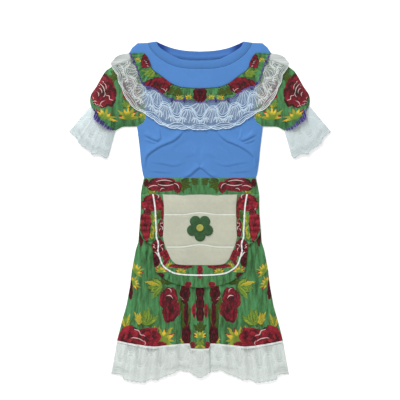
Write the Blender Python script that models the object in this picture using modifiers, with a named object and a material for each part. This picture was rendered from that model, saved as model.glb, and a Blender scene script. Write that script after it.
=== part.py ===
"""A festa junina dress laid flat, front up.

The neck points to +Y, the front faces +Z and the back lies on Z = 0.
Tables give one half of the dress in millimetres, as a pattern maker would:
"out" is measured from the centre line and "drop" down from the neck points.
"""
import math
from collections import namedtuple

import bmesh
import bpy
from mathutils import Vector

MM = 0.001
COLLECTION = "festa_junina_dress"

# Lengths down the dress
WAIST_DROP = 429.0
BAND_DROP = 480.0
HEM_DROP = 941.0
LACE_DROP = 1074.0
CENTRE_DROP = LACE_DROP / 2

# Walls and gaps
BACK_WALL = 1.5
JERSEY_WALL = 1.5
COTTON_WALL = 1.2
LACE_WALL = 1.0
RIBBON_WALL = 1.0
FELT_WALL = 4.6
SEAM_GAP = 0.6
ARMHOLE_GAP = 0.8
CUFF_GAP = 1.3
LAY_GAP = 0.6
TRIM_GAP = 0.4
REST = BACK_WALL + 0.3

# How far the front lies above the back
FRONT_LIFT = 2.0
SLEEVE_PUFF = 13.0
PUFF_REACH = 90.0
EDGE_REACH = 45.0
FOLD_ROUND = 1.9
FOLD_SHARE = 0.015

# Points read from a line's curve between two of its own
LINE_STEPS = 6
ARMHOLE_STEPS = 2
TOP_EDGE_FADE = 2.5

Point = namedtuple("Point", "out drop")
Band = namedtuple("Band", "in_out in_drop edge_out edge_drop")
Yoke = namedtuple("Yoke", "neck_out neck_drop seam_out seam_drop edge_out edge_drop")
Fold = namedtuple("Fold", "out drop to_out to_drop width height")
Pleat = namedtuple("Pleat", "share width height")

SHOULDER = [Point(164, 3.5), Point(196, 5), Point(212, 18), Point(222, 34)]
ARMHOLE = [Point(222, 34), Point(198, 88), Point(184, 136), Point(172, 198),
           Point(170, 230), Point(177, 253), Point(198, 268)]
SIDE = [Point(198, 268), Point(189, 341), Point(186, 373), Point(181, 410), Point(176, 429)]
SKIRT_SIDE = [Point(176, 429), Point(182, 455), Point(186, 480), Point(187, 543),
              Point(191, 590), Point(194, 631), Point(202, 656), Point(214, 719),
              Point(220, 770), Point(231, 830), Point(246, 883), Point(261, 941)]
OVERARM = [Point(222, 34), Point(250, 55), Point(278, 79), Point(296, 92), Point(309, 111),
           Point(325, 140), Point(342, 165), Point(346, 184), Point(344, 201)]
UNDERARM = [Point(198, 268), Point(222, 268), Point(244, 269), Point(265, 280)]
CUFF_SEAM = [Point(344, 201), Point(329, 222), Point(331, 238), Point(320, 252),
             Point(304, 264), Point(287, 276), Point(265, 280)]
CUFF_HEM = [Point(413, 283), Point(402, 292), Point(389, 303), Point(381, 321),
            Point(364, 333), Point(347, 345), Point(340, 356), Point(323, 354),
            Point(308, 361), Point(296, 368), Point(287, 358)]

FRONT_BAND = [Band(136, 0, 164, 3.5), Band(131, 14, 153, 25), Band(116, 27, 132, 47.5),
              Band(90, 42, 98.5, 69.5), Band(62, 55, 65.5, 80.5), Band(32, 60.5, 33, 85),
              Band(0, 61, 0, 85.5)]
BACK_BAND = [Band(136, 0, 164, 3.5), Band(122, 7, 138, 29), Band(100, 16, 108, 40),
             Band(76.5, 23, 81, 48), Band(43.5, 28.5, 46, 54), Band(0, 31, 0, 56)]

# The printed ruffle runs from the neck edge to the seam, the lace from the seam to its edge
YOKE = [Yoke(175.5, 36, 220.5, 36, 226, 37), Yoke(172, 41, 216, 46, 255.5, 44),
        Yoke(167, 47, 210, 57, 273, 59), Yoke(163, 54, 204, 68, 279.5, 76),
        Yoke(157, 67, 197, 88, 262.5, 107), Yoke(154, 80, 190, 109, 255, 133),
        Yoke(149, 88, 184, 126, 241, 165), Yoke(143, 94, 175, 138, 223, 197),
        Yoke(134, 100, 163, 142, 197, 219), Yoke(124, 107, 149, 147, 165, 235),
        Yoke(112, 116, 128, 158, 142, 253), Yoke(92, 131, 106, 174, 112, 269),
        Yoke(66, 142, 74, 186, 72, 278), Yoke(38, 146, 40, 186, 36, 278),
        Yoke(16, 147.5, 18, 189, 16, 279.5), Yoke(0, 148, 0, 192, 0, 282)]
YOKE_STEPS = 2
YOKE_WAVES = 15
YOKE_WAVE_HEIGHT = 2.6
LACE_WAVES = 7
LACE_WAVE_HEIGHT = 2.4
SEAM_WAVE = 0.25

# The apron ruffle runs from the panel's edge, tucked under it, to its own edge
APRON = [Band(117, 480.6, 185, 480.6), Band(113, 522, 184, 520), Band(114, 562, 187, 560),
         Band(115, 597, 190, 598), Band(116, 615, 176, 626), Band(112, 634, 154, 640),
         Band(107, 650, 148, 664), Band(100, 664, 146, 692), Band(93, 681, 138, 726),
         Band(83, 694, 113, 745.5), Band(70, 701, 86, 760), Band(40, 703.5, 45, 769.5),
         Band(0, 703.5, 0, 775)]
APRON_STEPS = 3
APRON_WAVES = 12
APRON_WAVE_HEIGHT = 3.4
APRON_TUCK_UNDER = 3.0
RIBBON_WIDTH = 5.4
RIBBON_PLACE = [(0.0, 0.455), (3.0, 0.29), (4.5, 0.36), (6.0, 0.62), (8.0, 0.52),
                (9.0, 0.50), (12.0, 0.44)]
APRON_REACH = [(0, 775), (57, 766), (112, 746), (137, 730), (147, 690), (152, 645),
               (176, 628), (300, 615)]
TUCKS = {"apron_tuck_upper": (546.0, 540.0), "apron_tuck_lower": (647.5, 640.0)}
TUCK_WIDTH = 3.2
TUCK_INSET = 2.0

BODICE_FOLDS = [Fold(55, 290, 96, 326, 11, 3.2), Fold(96, 326, 142, 342, 10, 3.4),
                Fold(142, 342, 168, 384, 10, 2.6), Fold(178, 296, 132, 312, 8, 2.8),
                Fold(168, 322, 146, 326, 7, 1.6), Fold(156, 388, 92, 398, 10, 1.6),
                Fold(92, 398, 47, 378, 9, 1.4), Fold(38, 420, 0, 402, 7, 2.2)]
SKIRT_PLEATS = [Pleat(0.195, 0.030, 1.2), Pleat(0.300, 0.050, 6.0), Pleat(0.415, 0.045, 3.6),
                Pleat(0.525, 0.050, 6.4), Pleat(0.650, 0.050, 4.2), Pleat(0.775, 0.048, 6.2),
                Pleat(0.895, 0.040, 4.4)]
BOX_PLEAT_SHARE = 0.115
BOX_PLEAT_HEIGHT = 6.5
BOX_PLEAT_DROP = 14.0
BOX_PLEAT_SLOPE = 0.03
BOX_PLEAT_CORNER = 0.05
BOX_PLEAT_COLUMNS = [0.0, 0.045, 0.085, 0.115, 0.145, 0.17]
SKIRT_COLUMNS = 24
SKIRT_ROWS = 8
PLEAT_START = 28.0
PLEAT_GROWTH = 90.0
HEM_SAG = [(0, 11), (0.10, 10), (0.14, 9), (0.26, 10), (0.49, 17), (0.57, 18.5),
           (0.67, 15), (0.84, 8), (1, 0)]
PIPING_WIDTH = 2.6
LACE_EDGE = [(0, 1060), (8, 1057), (22, 1048.5), (36, 1039), (48, 1040), (66, 1035),
             (88, 1047), (118, 1058), (133, 1066), (157, 1065), (175, 1074), (199, 1073),
             (219, 1069), (239, 1065), (246, 1051), (259, 1047), (280, 1047)]
HEM_LACE_OUT = 280.0
HEM_LACE_ROWS = 3
HEM_WAVES = 11
HEM_WAVE_HEIGHT = 4.2
HEM_SETTLE = 0.4
BACK_LACE_DROP = 1028.0
BACK_LACE_DIP = 19.0
SLEEVE_ROWS = 6
OPENING_WAVES = 6
OPENING_WAVE_HEIGHT = 1.6
CUFF_COLUMNS = 18
CUFF_ROWS = 3
CUFF_WAVES = 5
CUFF_WAVE_HEIGHT = 4.5
CUFF_LIFT = 7.0
CUFF_SETTLE = 0.6

FLOWER_DROP = 588.0
FLOWER_RADIUS = 41.5
FLOWER_CORE = 25.0
PETALS = 5
PETAL_ROUND = 0.75
FLOWER_SIDES = 50
FLOWER_RINGS = [(1.0, 0.0), (1.0, 0.55), (0.93, 0.88), (0.62, 1.0)]
CENTRE_RADIUS = 11.0
CENTRE_TOP_RADIUS = 9.0
CENTRE_WALL = 2.6

COLOURS = {
    "jersey": (0.094, 0.246, 0.584, 1.0),
    "print": (0.105, 0.190, 0.080, 1.0),
    "lace": (0.640, 0.680, 0.640, 1.0),
    "beige": (0.510, 0.500, 0.400, 1.0),
    "ribbon": (0.780, 0.790, 0.770, 1.0),
    "green_felt": (0.036, 0.095, 0.032, 1.0),
    "yellow_felt": (0.330, 0.340, 0.060, 1.0),
}


def clear_scene():
    for item in list(bpy.data.objects):
        bpy.data.objects.remove(item, do_unlink=True)


def make_materials():
    materials = {}
    for name, colour in COLOURS.items():
        material = bpy.data.materials.new(name)
        material.use_nodes = True
        shader = material.node_tree.nodes["Principled BSDF"]
        shader.inputs["Base Color"].default_value = colour
        shader.inputs["Roughness"].default_value = 0.85
        shader.inputs["Metallic"].default_value = 0.0
        materials[name] = material
    return materials


def place(point, height, side=1):
    """The point of the dress, in metres, on the +X half or the -X half."""
    return Vector((side * point.x, CENTRE_DROP - point.y, height)) * MM


def ease(value):
    value = min(max(value, 0.0), 1.0)
    return value * value * (3.0 - 2.0 * value)


def rounded(distance, reach):
    """Rise from 0 at an edge to 1 at the given reach, level there."""
    share = min(max(distance / reach, 0.0), 1.0)
    return 1.0 - (1.0 - share) ** 2


def read_table(table, key):
    """Linear reading of a table of (key, value) rows."""
    if key <= table[0][0]:
        return table[0][1]
    for (low, first), (high, second) in zip(table, table[1:]):
        if key <= high:
            return first + (second - first) * (key - low) / (high - low)
    return table[-1][1]


def vectors(points):
    return [Vector((p[0], p[1])) for p in points]


def spread(points, steps):
    """Catmull-Rom points through a run, with so many steps to a span."""
    last = len(points) - 1
    result = []
    for i in range(last):
        b, c = points[i], points[i + 1]
        a = points[i - 1] if i > 0 else b
        d = points[i + 2] if i + 2 <= last else c
        for k in range(steps):
            t = k / steps
            result.append(0.5 * (2 * b + (c - a) * t + (2 * a - 5 * b + 4 * c - d) * t * t
                                 + (3 * b - a - 3 * c + d) * t ** 3))
    result.append(points[last])
    return result


class Line:
    """A line of one or more smooth runs, read by its share of the length."""

    def __init__(self, *runs):
        self.points = []
        for run in runs:
            dense = spread(vectors(run), LINE_STEPS)
            self.points += dense if not self.points else dense[1:]
        self.lengths = [0.0]
        for first, second in zip(self.points, self.points[1:]):
            self.lengths.append(self.lengths[-1] + (second - first).length)

    def at(self, share):
        wanted = share * self.lengths[-1]
        for i in range(len(self.points) - 1):
            if wanted <= self.lengths[i + 1] or i == len(self.points) - 2:
                step = self.lengths[i + 1] - self.lengths[i]
                return self.points[i].lerp(self.points[i + 1], (wanted - self.lengths[i]) / step)

    def shares(self, steps):
        """The shares of the points that split each span into so many steps."""
        stride = LINE_STEPS // steps
        return [length / self.lengths[-1] for length in self.lengths[::stride]]

    def distance(self, point):
        best = 1e9
        for first, second in zip(self.points[::2], self.points[2::2]):
            best = min(best, segment_distance(point, first, second))
        return best


def segment_distance(point, first, second):
    span = second - first
    share = (point - first).dot(span) / span.length_squared
    return (point - first - span * min(max(share, 0.0), 1.0)).length


def patch(top, bottom, inner, outer, columns, rows):
    """Blend four border lines into a grid of points."""
    grid = []
    for v in rows:
        row = []
        for u in columns:
            across = top.at(u).lerp(bottom.at(u), v)
            down = inner.at(v).lerp(outer.at(v), u)
            corners = top.at(0).lerp(top.at(1), u).lerp(bottom.at(0).lerp(bottom.at(1), u), v)
            row.append(across + down - corners)
        grid.append(row)
    return grid


TOP_EDGE = Line(SHOULDER, OVERARM)
LOW_EDGE = Line(list(reversed(UNDERARM)), SIDE, SKIRT_SIDE)
ARMHOLE_OUT = [(p.drop, p.out) for p in ARMHOLE]
SIDE_OUT = [(p.drop, p.out) for p in SIDE + SKIRT_SIDE[1:]]


def front_height(point):
    """Underside of the front and of the sleeves' upper side, from their edges inward."""
    edge = min(TOP_EDGE.distance(point), LOW_EDGE.distance(point))
    past_armhole = point.x - read_table(ARMHOLE_OUT, point.y)
    puff = SLEEVE_PUFF * ease(past_armhole / PUFF_REACH) if point.y < HEM_DROP / 2 else 0.0
    return REST + (FRONT_LIFT + puff) * rounded(edge, EDGE_REACH)


def bodice_height(point):
    lift = 0.0
    for fold in BODICE_FOLDS:
        reach = segment_distance(point, Vector((fold.out, fold.drop)),
                                 Vector((fold.to_out, fold.to_drop)))
        lift = max(lift, fold.height * math.exp(-(reach / fold.width) ** 2))
    settle = rounded(LOW_EDGE.distance(point), EDGE_REACH)
    return front_height(point) + lift * settle


def skirt_height(point):
    """Underside of the skirt's front, with pleats that grow below the apron."""
    side = read_table(SIDE_OUT, point.y)
    share = point.x / side
    below_apron = point.y - read_table(APRON_REACH, point.x) - PLEAT_START
    grown = ease(below_apron / PLEAT_GROWTH)
    pleat = sum(p.height * math.exp(-((share - p.share) / p.width) ** 2) for p in SKIRT_PLEATS)
    box = BOX_PLEAT_HEIGHT * ease((BOX_PLEAT_SHARE - share) / BOX_PLEAT_SLOPE + 0.5)
    edge = rounded(side - point.x, EDGE_REACH)
    return REST + (FRONT_LIFT + grown * (pleat + box)) * edge


def shade_and_link(name, mesh, material):
    item = bpy.data.objects.new(name, mesh)
    mesh.materials.append(material)
    mesh.shade_smooth()
    mesh.set_sharp_from_angle(angle=math.radians(50))
    bpy.data.collections[COLLECTION].objects.link(item)
    return item


def add_wall(item, wall, offset):
    solidify = item.modifiers.new("wall", "SOLIDIFY")
    solidify.thickness = wall * MM
    solidify.offset = offset


def weave(name, grid, closed):
    """A mesh of quads through a grid of points, its upper faces looking up."""
    bm = bmesh.new()
    rows = [[bm.verts.new(p) for p in row] for row in grid]
    middle = sum((p.z for row in grid for p in row)) / sum(len(row) for row in grid)
    wrap = 0 if closed else 1
    for upper, lower in zip(rows, rows[1:]):
        for c in range(len(upper) - wrap):
            d = (c + 1) % len(upper)
            bm.faces.new((upper[c], upper[d], lower[d], lower[c]))
    bm.normal_update()
    upward = sum(f.normal.z * f.calc_area() for f in bm.faces
                 if not closed or f.calc_center_median().z > middle)
    if upward < 0:
        bmesh.ops.reverse_faces(bm, faces=bm.faces[:])
    mesh = bpy.data.meshes.new(name)
    bm.to_mesh(mesh)
    bm.free()
    return mesh


def add_panel(name, grid, wall, material):
    """A whole panel from the grid of its +X half, thickened upward."""
    item = shade_and_link(name, weave(name, grid, False), material)
    mirror = item.modifiers.new("other half", "MIRROR")
    mirror.merge_threshold = 0.0001
    add_wall(item, wall, 1)
    return item


def add_tube(name, rings, wall, material):
    """A flattened tube, thickened inward from its outer rings."""
    item = shade_and_link(name, weave(name, rings, True), material)
    add_wall(item, wall, -1)
    return item


def moved(points, out, drop):
    return [Point(p[0] + out, p[1] + drop) for p in points]


def beside(points, gap):
    """The points moved square to their line, to its left as seen from above."""
    line = vectors(points)
    result = []
    for i, point in enumerate(line):
        along = (line[min(i + 1, len(line) - 1)] - line[max(i - 1, 0)]).normalized()
        result.append(point + Vector((along.y, -along.x)) * gap)
    return result


def hang(top, side, waist):
    """A grid hung from the points of a top edge, kept in step with those of a side edge."""
    grid = []
    start = side[0]
    for edge in side:
        left = (1.0 - (edge.y - start.y) / (waist - start.y)) ** TOP_EDGE_FADE
        grid.append([Vector((p.x * edge.x / start.x, edge.y + (p.y - start.y) * left))
                     for p in top])
    return grid


def add_bodice(materials):
    for name, band, height, steps in (("bodice_back", BACK_BAND, None, 1),
                                      ("bodice_front", FRONT_BAND, bodice_height, 2)):
        neck = [Point(row.edge_out, row.edge_drop) for row in reversed(band)]
        neck = [Point(0, neck[0].drop + SEAM_GAP)] + moved(neck[1:], SEAM_GAP, SEAM_GAP)
        top = spread(vectors(neck), steps) + spread(vectors([neck[-1]] + SHOULDER[1:]), 1)[1:]
        side = spread(vectors(ARMHOLE), ARMHOLE_STEPS) + spread(vectors(SIDE), steps)[1:]
        grid = hang(top, side, WAIST_DROP)
        points = [[place(p, height(p) if height else 0.0) for p in row] for row in grid]
        add_panel(name, points, JERSEY_WALL, materials["jersey"])


def add_neckbands(materials):
    for name, band, raised, steps in (("neckband_back", BACK_BAND, False, 1),
                                      ("neckband_front", FRONT_BAND, True, 2)):
        inner, edge = strip_lines(band, steps)
        grid = [[place(p, front_height(p) if raised else 0.0) for p in line]
                for line in (inner, edge)]
        add_panel(name, grid, JERSEY_WALL, materials["jersey"])


def strip_lines(table, steps):
    """The lines of a table that lists them side by side, read at even steps."""
    width = len(table[0]) // 2
    return [spread(vectors([(row[2 * k], row[2 * k + 1]) for row in table]), steps)
            for k in range(width)]


def wave(share, count):
    """A gather's height, 0 in the valleys and 1 on the crests."""
    return 0.5 - 0.5 * math.cos(2 * math.pi * count * share)


def yoke_grid(start, stop, rows, waves, height, seam_at):
    """A gathered strip on the front and sleeves, kept off the seam at one of its edges."""
    last = len(start) - 1
    grid = []
    for r in range(rows):
        line = []
        for i in range(last + 1):
            span = stop[i] - start[i]
            trim = SEAM_GAP / 2 / span.length
            down = r / (rows - 1)
            across = down * (1.0 - trim) + (trim if seam_at == "start" else 0.0)
            point = start[i] + span * across
            under = front_height(point) + JERSEY_WALL + 2 * LAY_GAP
            gather = height * wave(i / last, waves) * (SEAM_WAVE + (1.0 - SEAM_WAVE) * down)
            line.append(place(point, under + gather))
        grid.append(line)
    return grid


def add_yoke(materials):
    neck, seam, edge = strip_lines(YOKE, YOKE_STEPS)
    ruffle = yoke_grid(neck, seam, 3, YOKE_WAVES, YOKE_WAVE_HEIGHT, "stop")
    add_panel("yoke_ruffle", ruffle, COTTON_WALL, materials["print"])
    lace = yoke_grid(seam, edge, 4, LACE_WAVES, LACE_WAVE_HEIGHT, "start")
    add_panel("yoke_lace", lace, LACE_WALL, materials["lace"])


def tube_columns(shares):
    """Shares across a flattened tube, close together where it folds."""
    return [0.0, FOLD_SHARE] + shares[1:-1] + [1.0 - FOLD_SHARE, 1.0]


def ring(row, heights, side):
    """Close a row of points: over the upper side, round the fold, back underneath."""
    upper = [place(p, z, side) for p, z in zip(row, heights)]
    under = [place(p, 0.0, side) for p in reversed(row[1:-1])]
    return upper + under


def add_sleeve(name, side, materials):
    seam = beside(ARMHOLE, ARMHOLE_GAP)
    armhole = Line(seam)
    overarm = Line([seam[0]] + OVERARM[1:])
    underarm = Line([seam[-1]] + UNDERARM[1:])
    opening = Line(CUFF_SEAM)
    rows = [k / SLEEVE_ROWS for k in range(SLEEVE_ROWS + 1)]
    columns = tube_columns(armhole.shares(ARMHOLE_STEPS))
    rings = []
    for s, row in zip(rows, patch(armhole, opening, overarm, underarm, columns, rows)):
        heights = []
        for t, point in zip(columns, row):
            gather = OPENING_WAVE_HEIGHT * s ** 3 * wave(t, OPENING_WAVES)
            heights.append(front_height(point) + COTTON_WALL + gather)
        heights[0] = heights[-1] = FOLD_ROUND
        rings.append(ring(row, heights, side))
    add_tube(name, rings, COTTON_WALL, materials["print"])


def add_cuff(name, side, materials):
    seam = Line(CUFF_SEAM)
    hem = Line(CUFF_HEM)
    columns = tube_columns([k / CUFF_COLUMNS for k in range(CUFF_COLUMNS + 1)])
    width = (hem.at(1) - hem.at(0)).length
    rings = []
    for s in [k / CUFF_ROWS for k in range(CUFF_ROWS + 1)]:
        row = []
        heights = []
        for t in columns:
            first, second = seam.at(t), hem.at(t)
            span = second - first
            start = CUFF_GAP / span.length
            point = first + span * (start + (1.0 - start) * s)
            row.append(point)
            edge = rounded(min(t, 1.0 - t) * width, EDGE_REACH)
            lift = FRONT_LIFT + CUFF_LIFT * (1.0 - CUFF_SETTLE * s)
            gather = CUFF_WAVE_HEIGHT * s * wave(t, CUFF_WAVES)
            heights.append(REST + COTTON_WALL + (lift + gather) * edge)
        heights[0] = heights[-1] = FOLD_ROUND
        rings.append(ring(row, heights, side))
    add_tube(name, rings, LACE_WALL, materials["lace"])


def add_waistbands(materials):
    for name, raised, columns in (("waistband_back", False, 5), ("waistband_front", True, 12)):
        shares = [k / columns for k in range(columns + 1)]
        grid = []
        for drop in (WAIST_DROP + SEAM_GAP, (WAIST_DROP + BAND_DROP) / 2, BAND_DROP):
            out = read_table(SIDE_OUT, drop)
            points = [Vector((share * out, drop)) for share in shares]
            grid.append([place(p, front_height(p) if raised else 0.0) for p in points])
        add_panel(name, grid, COTTON_WALL if raised else BACK_WALL, materials["print"])


def skirt_point(share, down):
    """The point at a share of the half width and a share of the length."""
    top = BAND_DROP + SEAM_GAP
    level = top + (HEM_DROP - top) * down
    sag = read_table(HEM_SAG, share)
    box = BOX_PLEAT_DROP * ease((BOX_PLEAT_SHARE - share) / BOX_PLEAT_CORNER + 0.5)
    return Vector((share * read_table(SIDE_OUT, level), level + (sag + box) * down))


def skirt_shares():
    start = BOX_PLEAT_COLUMNS[-1]
    rest = SKIRT_COLUMNS - len(BOX_PLEAT_COLUMNS) + 1
    return BOX_PLEAT_COLUMNS + [start + (1.0 - start) * (k + 1) / rest for k in range(rest)]


def add_skirt(materials):
    back = []
    for r in range(5):
        points = [skirt_point(k / 6, r / 4) for k in range(7)]
        back.append([place(Vector((p.x, min(p.y, HEM_DROP))), 0.0) for p in points])
    add_panel("skirt_back", back, BACK_WALL, materials["print"])
    front = []
    for r in range(SKIRT_ROWS + 1):
        points = [skirt_point(share, r / SKIRT_ROWS) for share in skirt_shares()]
        front.append([place(p, skirt_height(p)) for p in points])
    add_panel("skirt_front", front, COTTON_WALL, materials["print"])
    return front[-1]


def add_hem(hem, materials):
    """Piping and lace hung from the skirt's own hem points."""
    piping = []
    for down in (SEAM_GAP, SEAM_GAP + PIPING_WIDTH):
        piping.append([p + Vector((0, -down, 0)) * MM for p in hem])
    add_panel("hem_piping", piping, COTTON_WALL, materials["ribbon"])
    seam = []
    for first, second in zip(hem, hem[1:]):
        seam += [first, first.lerp(second, 0.5)]
    seam.append(hem[-1])
    last = len(seam) - 1
    lace = []
    for r in range(HEM_LACE_ROWS + 1):
        down = r / HEM_LACE_ROWS
        line = []
        for i, start in enumerate(seam):
            top = start / MM + Vector((0, -PIPING_WIDTH - 2 * SEAM_GAP, 0))
            out = top.x / (hem[-1].x / MM) * HEM_LACE_OUT
            low = Vector((out, CENTRE_DROP - read_table(LACE_EDGE, out), 0))
            spot = top.lerp(low, down)
            edge = rounded(HEM_LACE_OUT - out, EDGE_REACH)
            gather = HEM_WAVE_HEIGHT * down * wave(i / last, HEM_WAVES) * edge
            spot.z = REST + (top.z - REST) * (1.0 - HEM_SETTLE * down) + gather
            line.append(spot * MM)
        lace.append(line)
    add_panel("hem_lace_front", lace, LACE_WALL, materials["lace"])
    back = []
    for r in range(3):
        line = []
        for k in range(9):
            share = k / 8
            top = Vector((share * SKIRT_SIDE[-1].out, HEM_DROP + SEAM_GAP))
            low = Vector((share * HEM_LACE_OUT, BACK_LACE_DROP + BACK_LACE_DIP * share ** 2))
            line.append(place(top.lerp(low, r / 2), 0.0))
        back.append(line)
    add_panel("hem_lace_back", back, BACK_WALL, materials["lace"])


def apron_base():
    """Underside of the apron's flat panel, over the ruffle's tucked edge."""
    return REST + FRONT_LIFT + 2 * COTTON_WALL + LAY_GAP + TRIM_GAP


def add_apron(materials):
    inner, edge = strip_lines(APRON, APRON_STEPS)
    last = len(inner) - 1

    def ruffle_point(i, across, lifted):
        span = edge[i] - inner[i]
        under = skirt_height(inner[i] + span * max(across, 0.0)) + COTTON_WALL + LAY_GAP
        gather = APRON_WAVE_HEIGHT * wave(i / last, APRON_WAVES) * max(across, 0.0)
        return place(inner[i] + span * across, under + gather + lifted)

    ruffle = []
    for across in (0.0, 0.5, 1.0):
        line = []
        for i in range(last + 1):
            tuck = -APRON_TUCK_UNDER / (edge[i] - inner[i]).length
            line.append(ruffle_point(i, across or tuck, 0.0))
        ruffle.append(line)
    add_panel("apron_ruffle", ruffle, COTTON_WALL, materials["print"])

    ribbon = [[], []]
    for i in range(last + 1):
        middle = read_table(RIBBON_PLACE, i / APRON_STEPS)
        half = 0.5 * RIBBON_WIDTH / (edge[i] - inner[i]).length
        for line, across in zip(ribbon, (middle - half, middle + half)):
            line.append(ruffle_point(i, across, COTTON_WALL + LAY_GAP))
    add_panel("apron_ribbon", ribbon, RIBBON_WALL, materials["ribbon"])

    side = [Point(row.in_out, row.in_drop) for row in APRON[:9]]
    floor = [Point(row.in_out, row.in_drop) for row in reversed(APRON[8:])]
    top = [Point(0, side[0].drop), side[0]]
    centre = [top[0], floor[0]]
    grid = patch(Line(top), Line(floor), Line(centre), Line(side),
                 [k / 5 for k in range(6)], [k / 9 for k in range(10)])
    add_panel("apron_panel", [[place(p, apron_base()) for p in row] for row in grid],
              COTTON_WALL, materials["beige"])

    for name, (drop, centre_drop) in TUCKS.items():
        edge_out = read_table([(row.in_drop, row.in_out) for row in APRON[:9]], drop)
        edge_out -= TUCK_INSET
        lines = []
        for down in (-0.5 * TUCK_WIDTH, 0.5 * TUCK_WIDTH):
            line = []
            for k in range(7):
                bend = ease(1.0 - k / 2) * (centre_drop - drop)
                line.append(place(Vector((edge_out * k / 6, drop + bend + down)),
                                  apron_base() + COTTON_WALL + TRIM_GAP))
            lines.append(line)
        add_panel(name, lines, COTTON_WALL, materials["ribbon"])


def petal_reach(angle):
    """Distance from the flower's middle to its edge, one petal pointing to the hem."""
    petal = abs(math.cos(PETALS / 2 * (angle + math.pi / 2))) ** PETAL_ROUND
    return FLOWER_CORE + (FLOWER_RADIUS - FLOWER_CORE) * petal


def add_flower(materials):
    base = apron_base() + COTTON_WALL + TRIM_GAP
    middle = Vector((0.0, FLOWER_DROP))
    bm = bmesh.new()
    rings = []
    for share, rise in FLOWER_RINGS:
        loop = []
        for k in range(FLOWER_SIDES):
            angle = 2 * math.pi * k / FLOWER_SIDES
            reach = petal_reach(angle) * share
            spot = middle + Vector((reach * math.cos(angle), -reach * math.sin(angle)))
            loop.append(bm.verts.new(place(spot, base + FELT_WALL * rise)))
        rings.append(loop)
    for lower, upper in zip(rings, rings[1:]):
        for k in range(FLOWER_SIDES):
            n = (k + 1) % FLOWER_SIDES
            bm.faces.new((lower[k], lower[n], upper[n], upper[k]))
    crown = bm.verts.new(place(middle, base + FELT_WALL))
    floor = bm.verts.new(place(middle, base))
    for k in range(FLOWER_SIDES):
        n = (k + 1) % FLOWER_SIDES
        bm.faces.new((rings[-1][k], rings[-1][n], crown))
        bm.faces.new((rings[0][n], rings[0][k], floor))
    bmesh.ops.recalc_face_normals(bm, faces=bm.faces[:])
    mesh = bpy.data.meshes.new("applique_flower")
    bm.to_mesh(mesh)
    bm.free()
    shade_and_link("applique_flower", mesh, materials["green_felt"])

    bm = bmesh.new()
    bmesh.ops.create_cone(bm, cap_ends=True, segments=24, radius1=CENTRE_RADIUS * MM,
                          radius2=CENTRE_TOP_RADIUS * MM, depth=CENTRE_WALL * MM)
    mesh = bpy.data.meshes.new("applique_centre")
    bm.to_mesh(mesh)
    bm.free()
    disc = shade_and_link("applique_centre", mesh, materials["yellow_felt"])
    disc.location = place(middle, base + FELT_WALL + TRIM_GAP + CENTRE_WALL / 2)


def main():
    clear_scene()
    collection = bpy.data.collections.new(COLLECTION)
    bpy.context.scene.collection.children.link(collection)
    materials = make_materials()
    add_bodice(materials)
    add_neckbands(materials)
    add_yoke(materials)
    for name, side in (("right", 1), ("left", -1)):
        add_sleeve("sleeve_" + name, side, materials)
        add_cuff("cuff_lace_" + name, side, materials)
    add_waistbands(materials)
    add_hem(add_skirt(materials), materials)
    add_apron(materials)
    add_flower(materials)


main()
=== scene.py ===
import math

import bpy
import numpy as np
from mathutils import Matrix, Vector


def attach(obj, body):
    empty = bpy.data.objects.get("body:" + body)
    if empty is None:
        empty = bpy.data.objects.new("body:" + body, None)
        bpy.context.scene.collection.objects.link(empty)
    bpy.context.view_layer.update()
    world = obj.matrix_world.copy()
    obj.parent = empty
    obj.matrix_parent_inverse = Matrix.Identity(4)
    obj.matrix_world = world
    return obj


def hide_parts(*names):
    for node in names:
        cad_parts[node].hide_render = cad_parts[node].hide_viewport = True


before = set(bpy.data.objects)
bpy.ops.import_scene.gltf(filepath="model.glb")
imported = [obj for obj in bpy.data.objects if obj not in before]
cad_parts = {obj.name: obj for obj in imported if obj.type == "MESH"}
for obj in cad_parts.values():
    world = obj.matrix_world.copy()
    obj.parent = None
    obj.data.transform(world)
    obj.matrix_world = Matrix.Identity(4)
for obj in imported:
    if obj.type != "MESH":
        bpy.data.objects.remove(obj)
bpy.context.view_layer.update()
for spare in ("Cube", "Light", "Camera"):
    if spare in bpy.data.objects:
        bpy.data.objects.remove(bpy.data.objects[spare], do_unlink=True)
print("packed dress loaded")

# Tables give half of the dress in millimetres: out from the centre line, drop down from the neck points.
mm = 0.001
fullTurn = 2 * math.pi
dress = {"waist": 429.0, "bandEnd": 480.0, "hem": 941.0, "laceEnd": 1074.0, "rest": 1.8, "frontLift": 2.0,
         "edgeReach": 45.0, "puff": 13.0, "puffReach": 90.0, "seamGap": 0.6,
         "jersey": 1.2, "cotton": 1.0, "lace": 0.8, "ribbon": 0.7, "solidJersey": 1.5, "solidCotton": 1.2,
         "fold": 1.9}
shoulder = [(164, 3.5), (196, 5), (212, 18), (222, 34)]
armhole = [(222, 34), (198, 88), (184, 136), (172, 198), (170, 230), (177, 253), (198, 268)]
sideSeam = [(198, 268), (189, 341), (186, 373), (181, 410), (176, 429)]
skirtSide = [(176, 429), (182, 455), (186, 480), (187, 543), (191, 590), (194, 631), (202, 656), (214, 719),
             (220, 770), (231, 830), (246, 883), (261, 941)]
overArm = [(222, 34), (250, 55), (278, 79), (296, 92), (309, 111), (325, 140), (342, 165), (346, 184),
           (344, 201)]
underArm = [(198, 268), (222, 268), (244, 269), (265, 280)]


# Lines and distances
def curveThrough(rows, steps=8):
    p = np.array(rows, float)
    a, b, c, d = np.vstack([p[:1], p[:-2]]), p[:-1], p[1:], np.vstack([p[2:], p[-1:]])
    a, b, c, d = (x[:, None, :] for x in (a, b, c, d))
    t = (np.arange(steps) / steps)[None, :, None]
    curved = (2 * a - 5 * b + 4 * c - d) * t ** 2 + (3 * b - a - 3 * c + d) * t ** 3
    spans = 0.5 * (2 * b + (c - a) * t + curved)
    return np.vstack([spans.reshape(-1, p.shape[1]), p[-1:]])


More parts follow.
